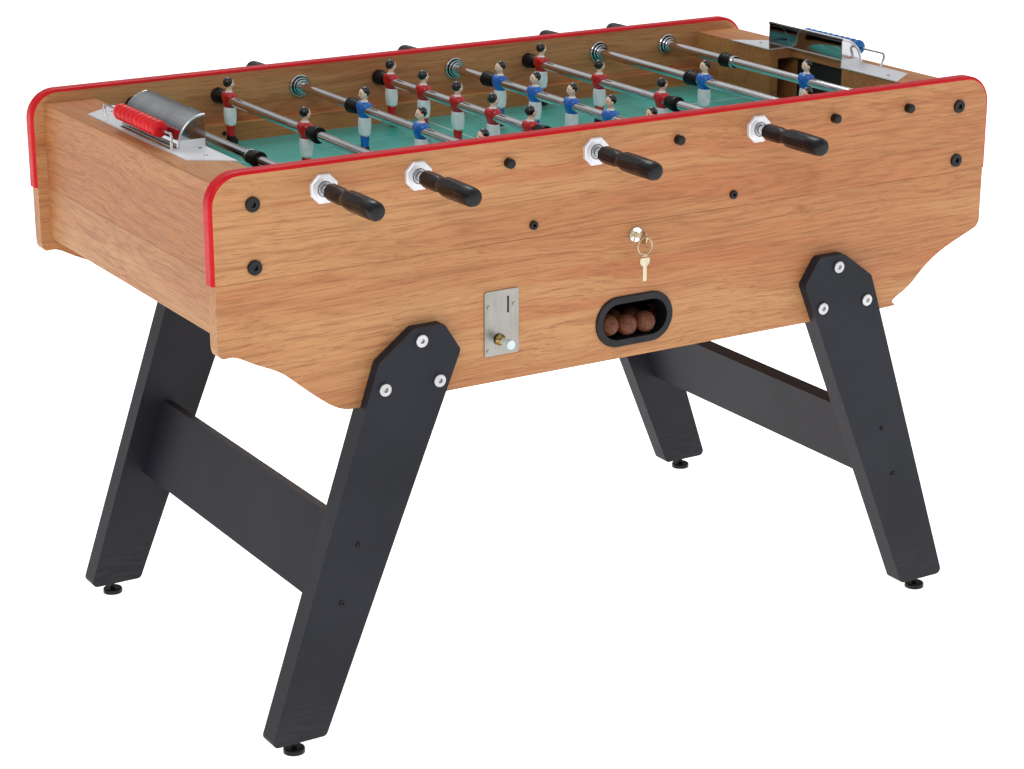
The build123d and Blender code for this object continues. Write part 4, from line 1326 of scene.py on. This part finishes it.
@dataclass
class Studio:
    """Floor, soft lights and camera, in metres."""

    lens: float = 83.16
    eye: tuple[float, float, float] = (-1.9997, -3.2696, 1.646)
    gaze: tuple[float, float, float] = (0.494402, 0.810463, -0.314192)
    floor_reach: float = 30.0
    aim: tuple[float, float, float] = (0.0, 0.0, 0.6)
    lamps: tuple[tuple[str, tuple[float, float, float], float, float], ...] = (
        ("key", (-3.0, -3.6, 3.8), 1.8, 46.0),
        ("fill", (3.6, -3.0, 2.6), 2.0, 17.0),
        ("top", (0.6, 2.4, 4.0), 1.4, 40.0),
    )
    bands: tuple[tuple[float, float, float, float], ...] = ((0.14, 0.62, 0.06, 0.7), (0.1, 0.15, 0.94, 0.0))

    def floor(self) -> None:
        """Lays the pale floor."""
        corners = np.array([[-1, -1, 0], [1, -1, 0], [1, 1, 0], [-1, 1, 0]], float) * self.floor_reach
        mesh = bpy.data.meshes.new("studio_floor")
        mesh.from_pydata(corners, [], [(0, 1, 2, 3)])
        mesh.materials.append(StudioFloor().material())
        ground = bpy.data.objects.new("studio_floor", mesh)
        bpy.context.scene.collection.objects.link(ground)

    def light(self, name: str, place: Sequence[float], size: float, power: float) -> None:
        """Hangs one soft square light that points at the table.

        Args:
            name: name of the light.
            place: where it hangs.
            size: length of its side.
            power: strength in watts.
        """
        lamp = bpy.data.lights.new(name, "AREA")
        lamp.shape = "SQUARE"
        lamp.size = size
        lamp.energy = power
        made = bpy.data.objects.new(name, lamp)
        made.location = place
        made.rotation_mode = "QUATERNION"
        made.rotation_quaternion = (Vector(self.aim) - Vector(place)).to_track_quat("-Z", "Y")
        bpy.context.scene.collection.objects.link(made)

    def camera(self) -> None:
        """Places the camera."""
        data = bpy.data.cameras.new("camera")
        data.lens = self.lens
        data.sensor_width = 36.0
        data.clip_start = 0.05
        data.clip_end = 200.0
        made = bpy.data.objects.new("camera", data)
        made.location = self.eye
        made.rotation_mode = "QUATERNION"
        made.rotation_quaternion = Vector(self.gaze).to_track_quat("-Z", "Y")
        bpy.context.scene.collection.objects.link(made)
        bpy.context.scene.camera = made

    def world(self) -> None:
        """Lights the surroundings by height: dark low down, pale above, and white about the horizon.

        Each band is a smooth step of the direction's height: from, to, level before and level after.
        """
        world = bpy.data.worlds.new("studio_world")
        bpy.context.scene.world = world
        world.use_nodes = True
        tree = world.node_tree
        split = tree.nodes.new("ShaderNodeSeparateXYZ")
        tree.links.new(tree.nodes.new("ShaderNodeTexCoord").outputs["Generated"], split.inputs[0])
        total = tree.nodes.new("ShaderNodeMath")
        total.operation = "ADD"
        for socket, levels in zip(total.inputs, self.bands):
            band = tree.nodes.new("ShaderNodeMapRange")
            band.interpolation_type = "SMOOTHSTEP"
            for key, level in zip(("From Min", "From Max", "To Min", "To Max"), levels):
                band.inputs[key].default_value = level
            tree.links.new(split.outputs["Z"], band.inputs["Value"])
            tree.links.new(band.outputs[0], socket)
        tree.links.new(total.outputs[0], tree.nodes["Background"].inputs["Color"])

    def make(self) -> None:
        """Sets up the whole studio."""
        bpy.context.scene.view_settings.view_transform = "Standard"
        self.world()
        self.floor()
        for name, place, size, power in self.lamps:
            self.light(name, place, size, power)
        self.camera()


def main() -> None:
    """Builds the table in order: cabinet, rods, scores, balls, then the studio."""
    logging.basicConfig(level=logging.INFO, format="%(message)s")
    Cabinet().make()
    Rods().make()
    Scores().make()
    BallReturn().make()
    Studio().make()


if __name__ == "__main__":
    main()
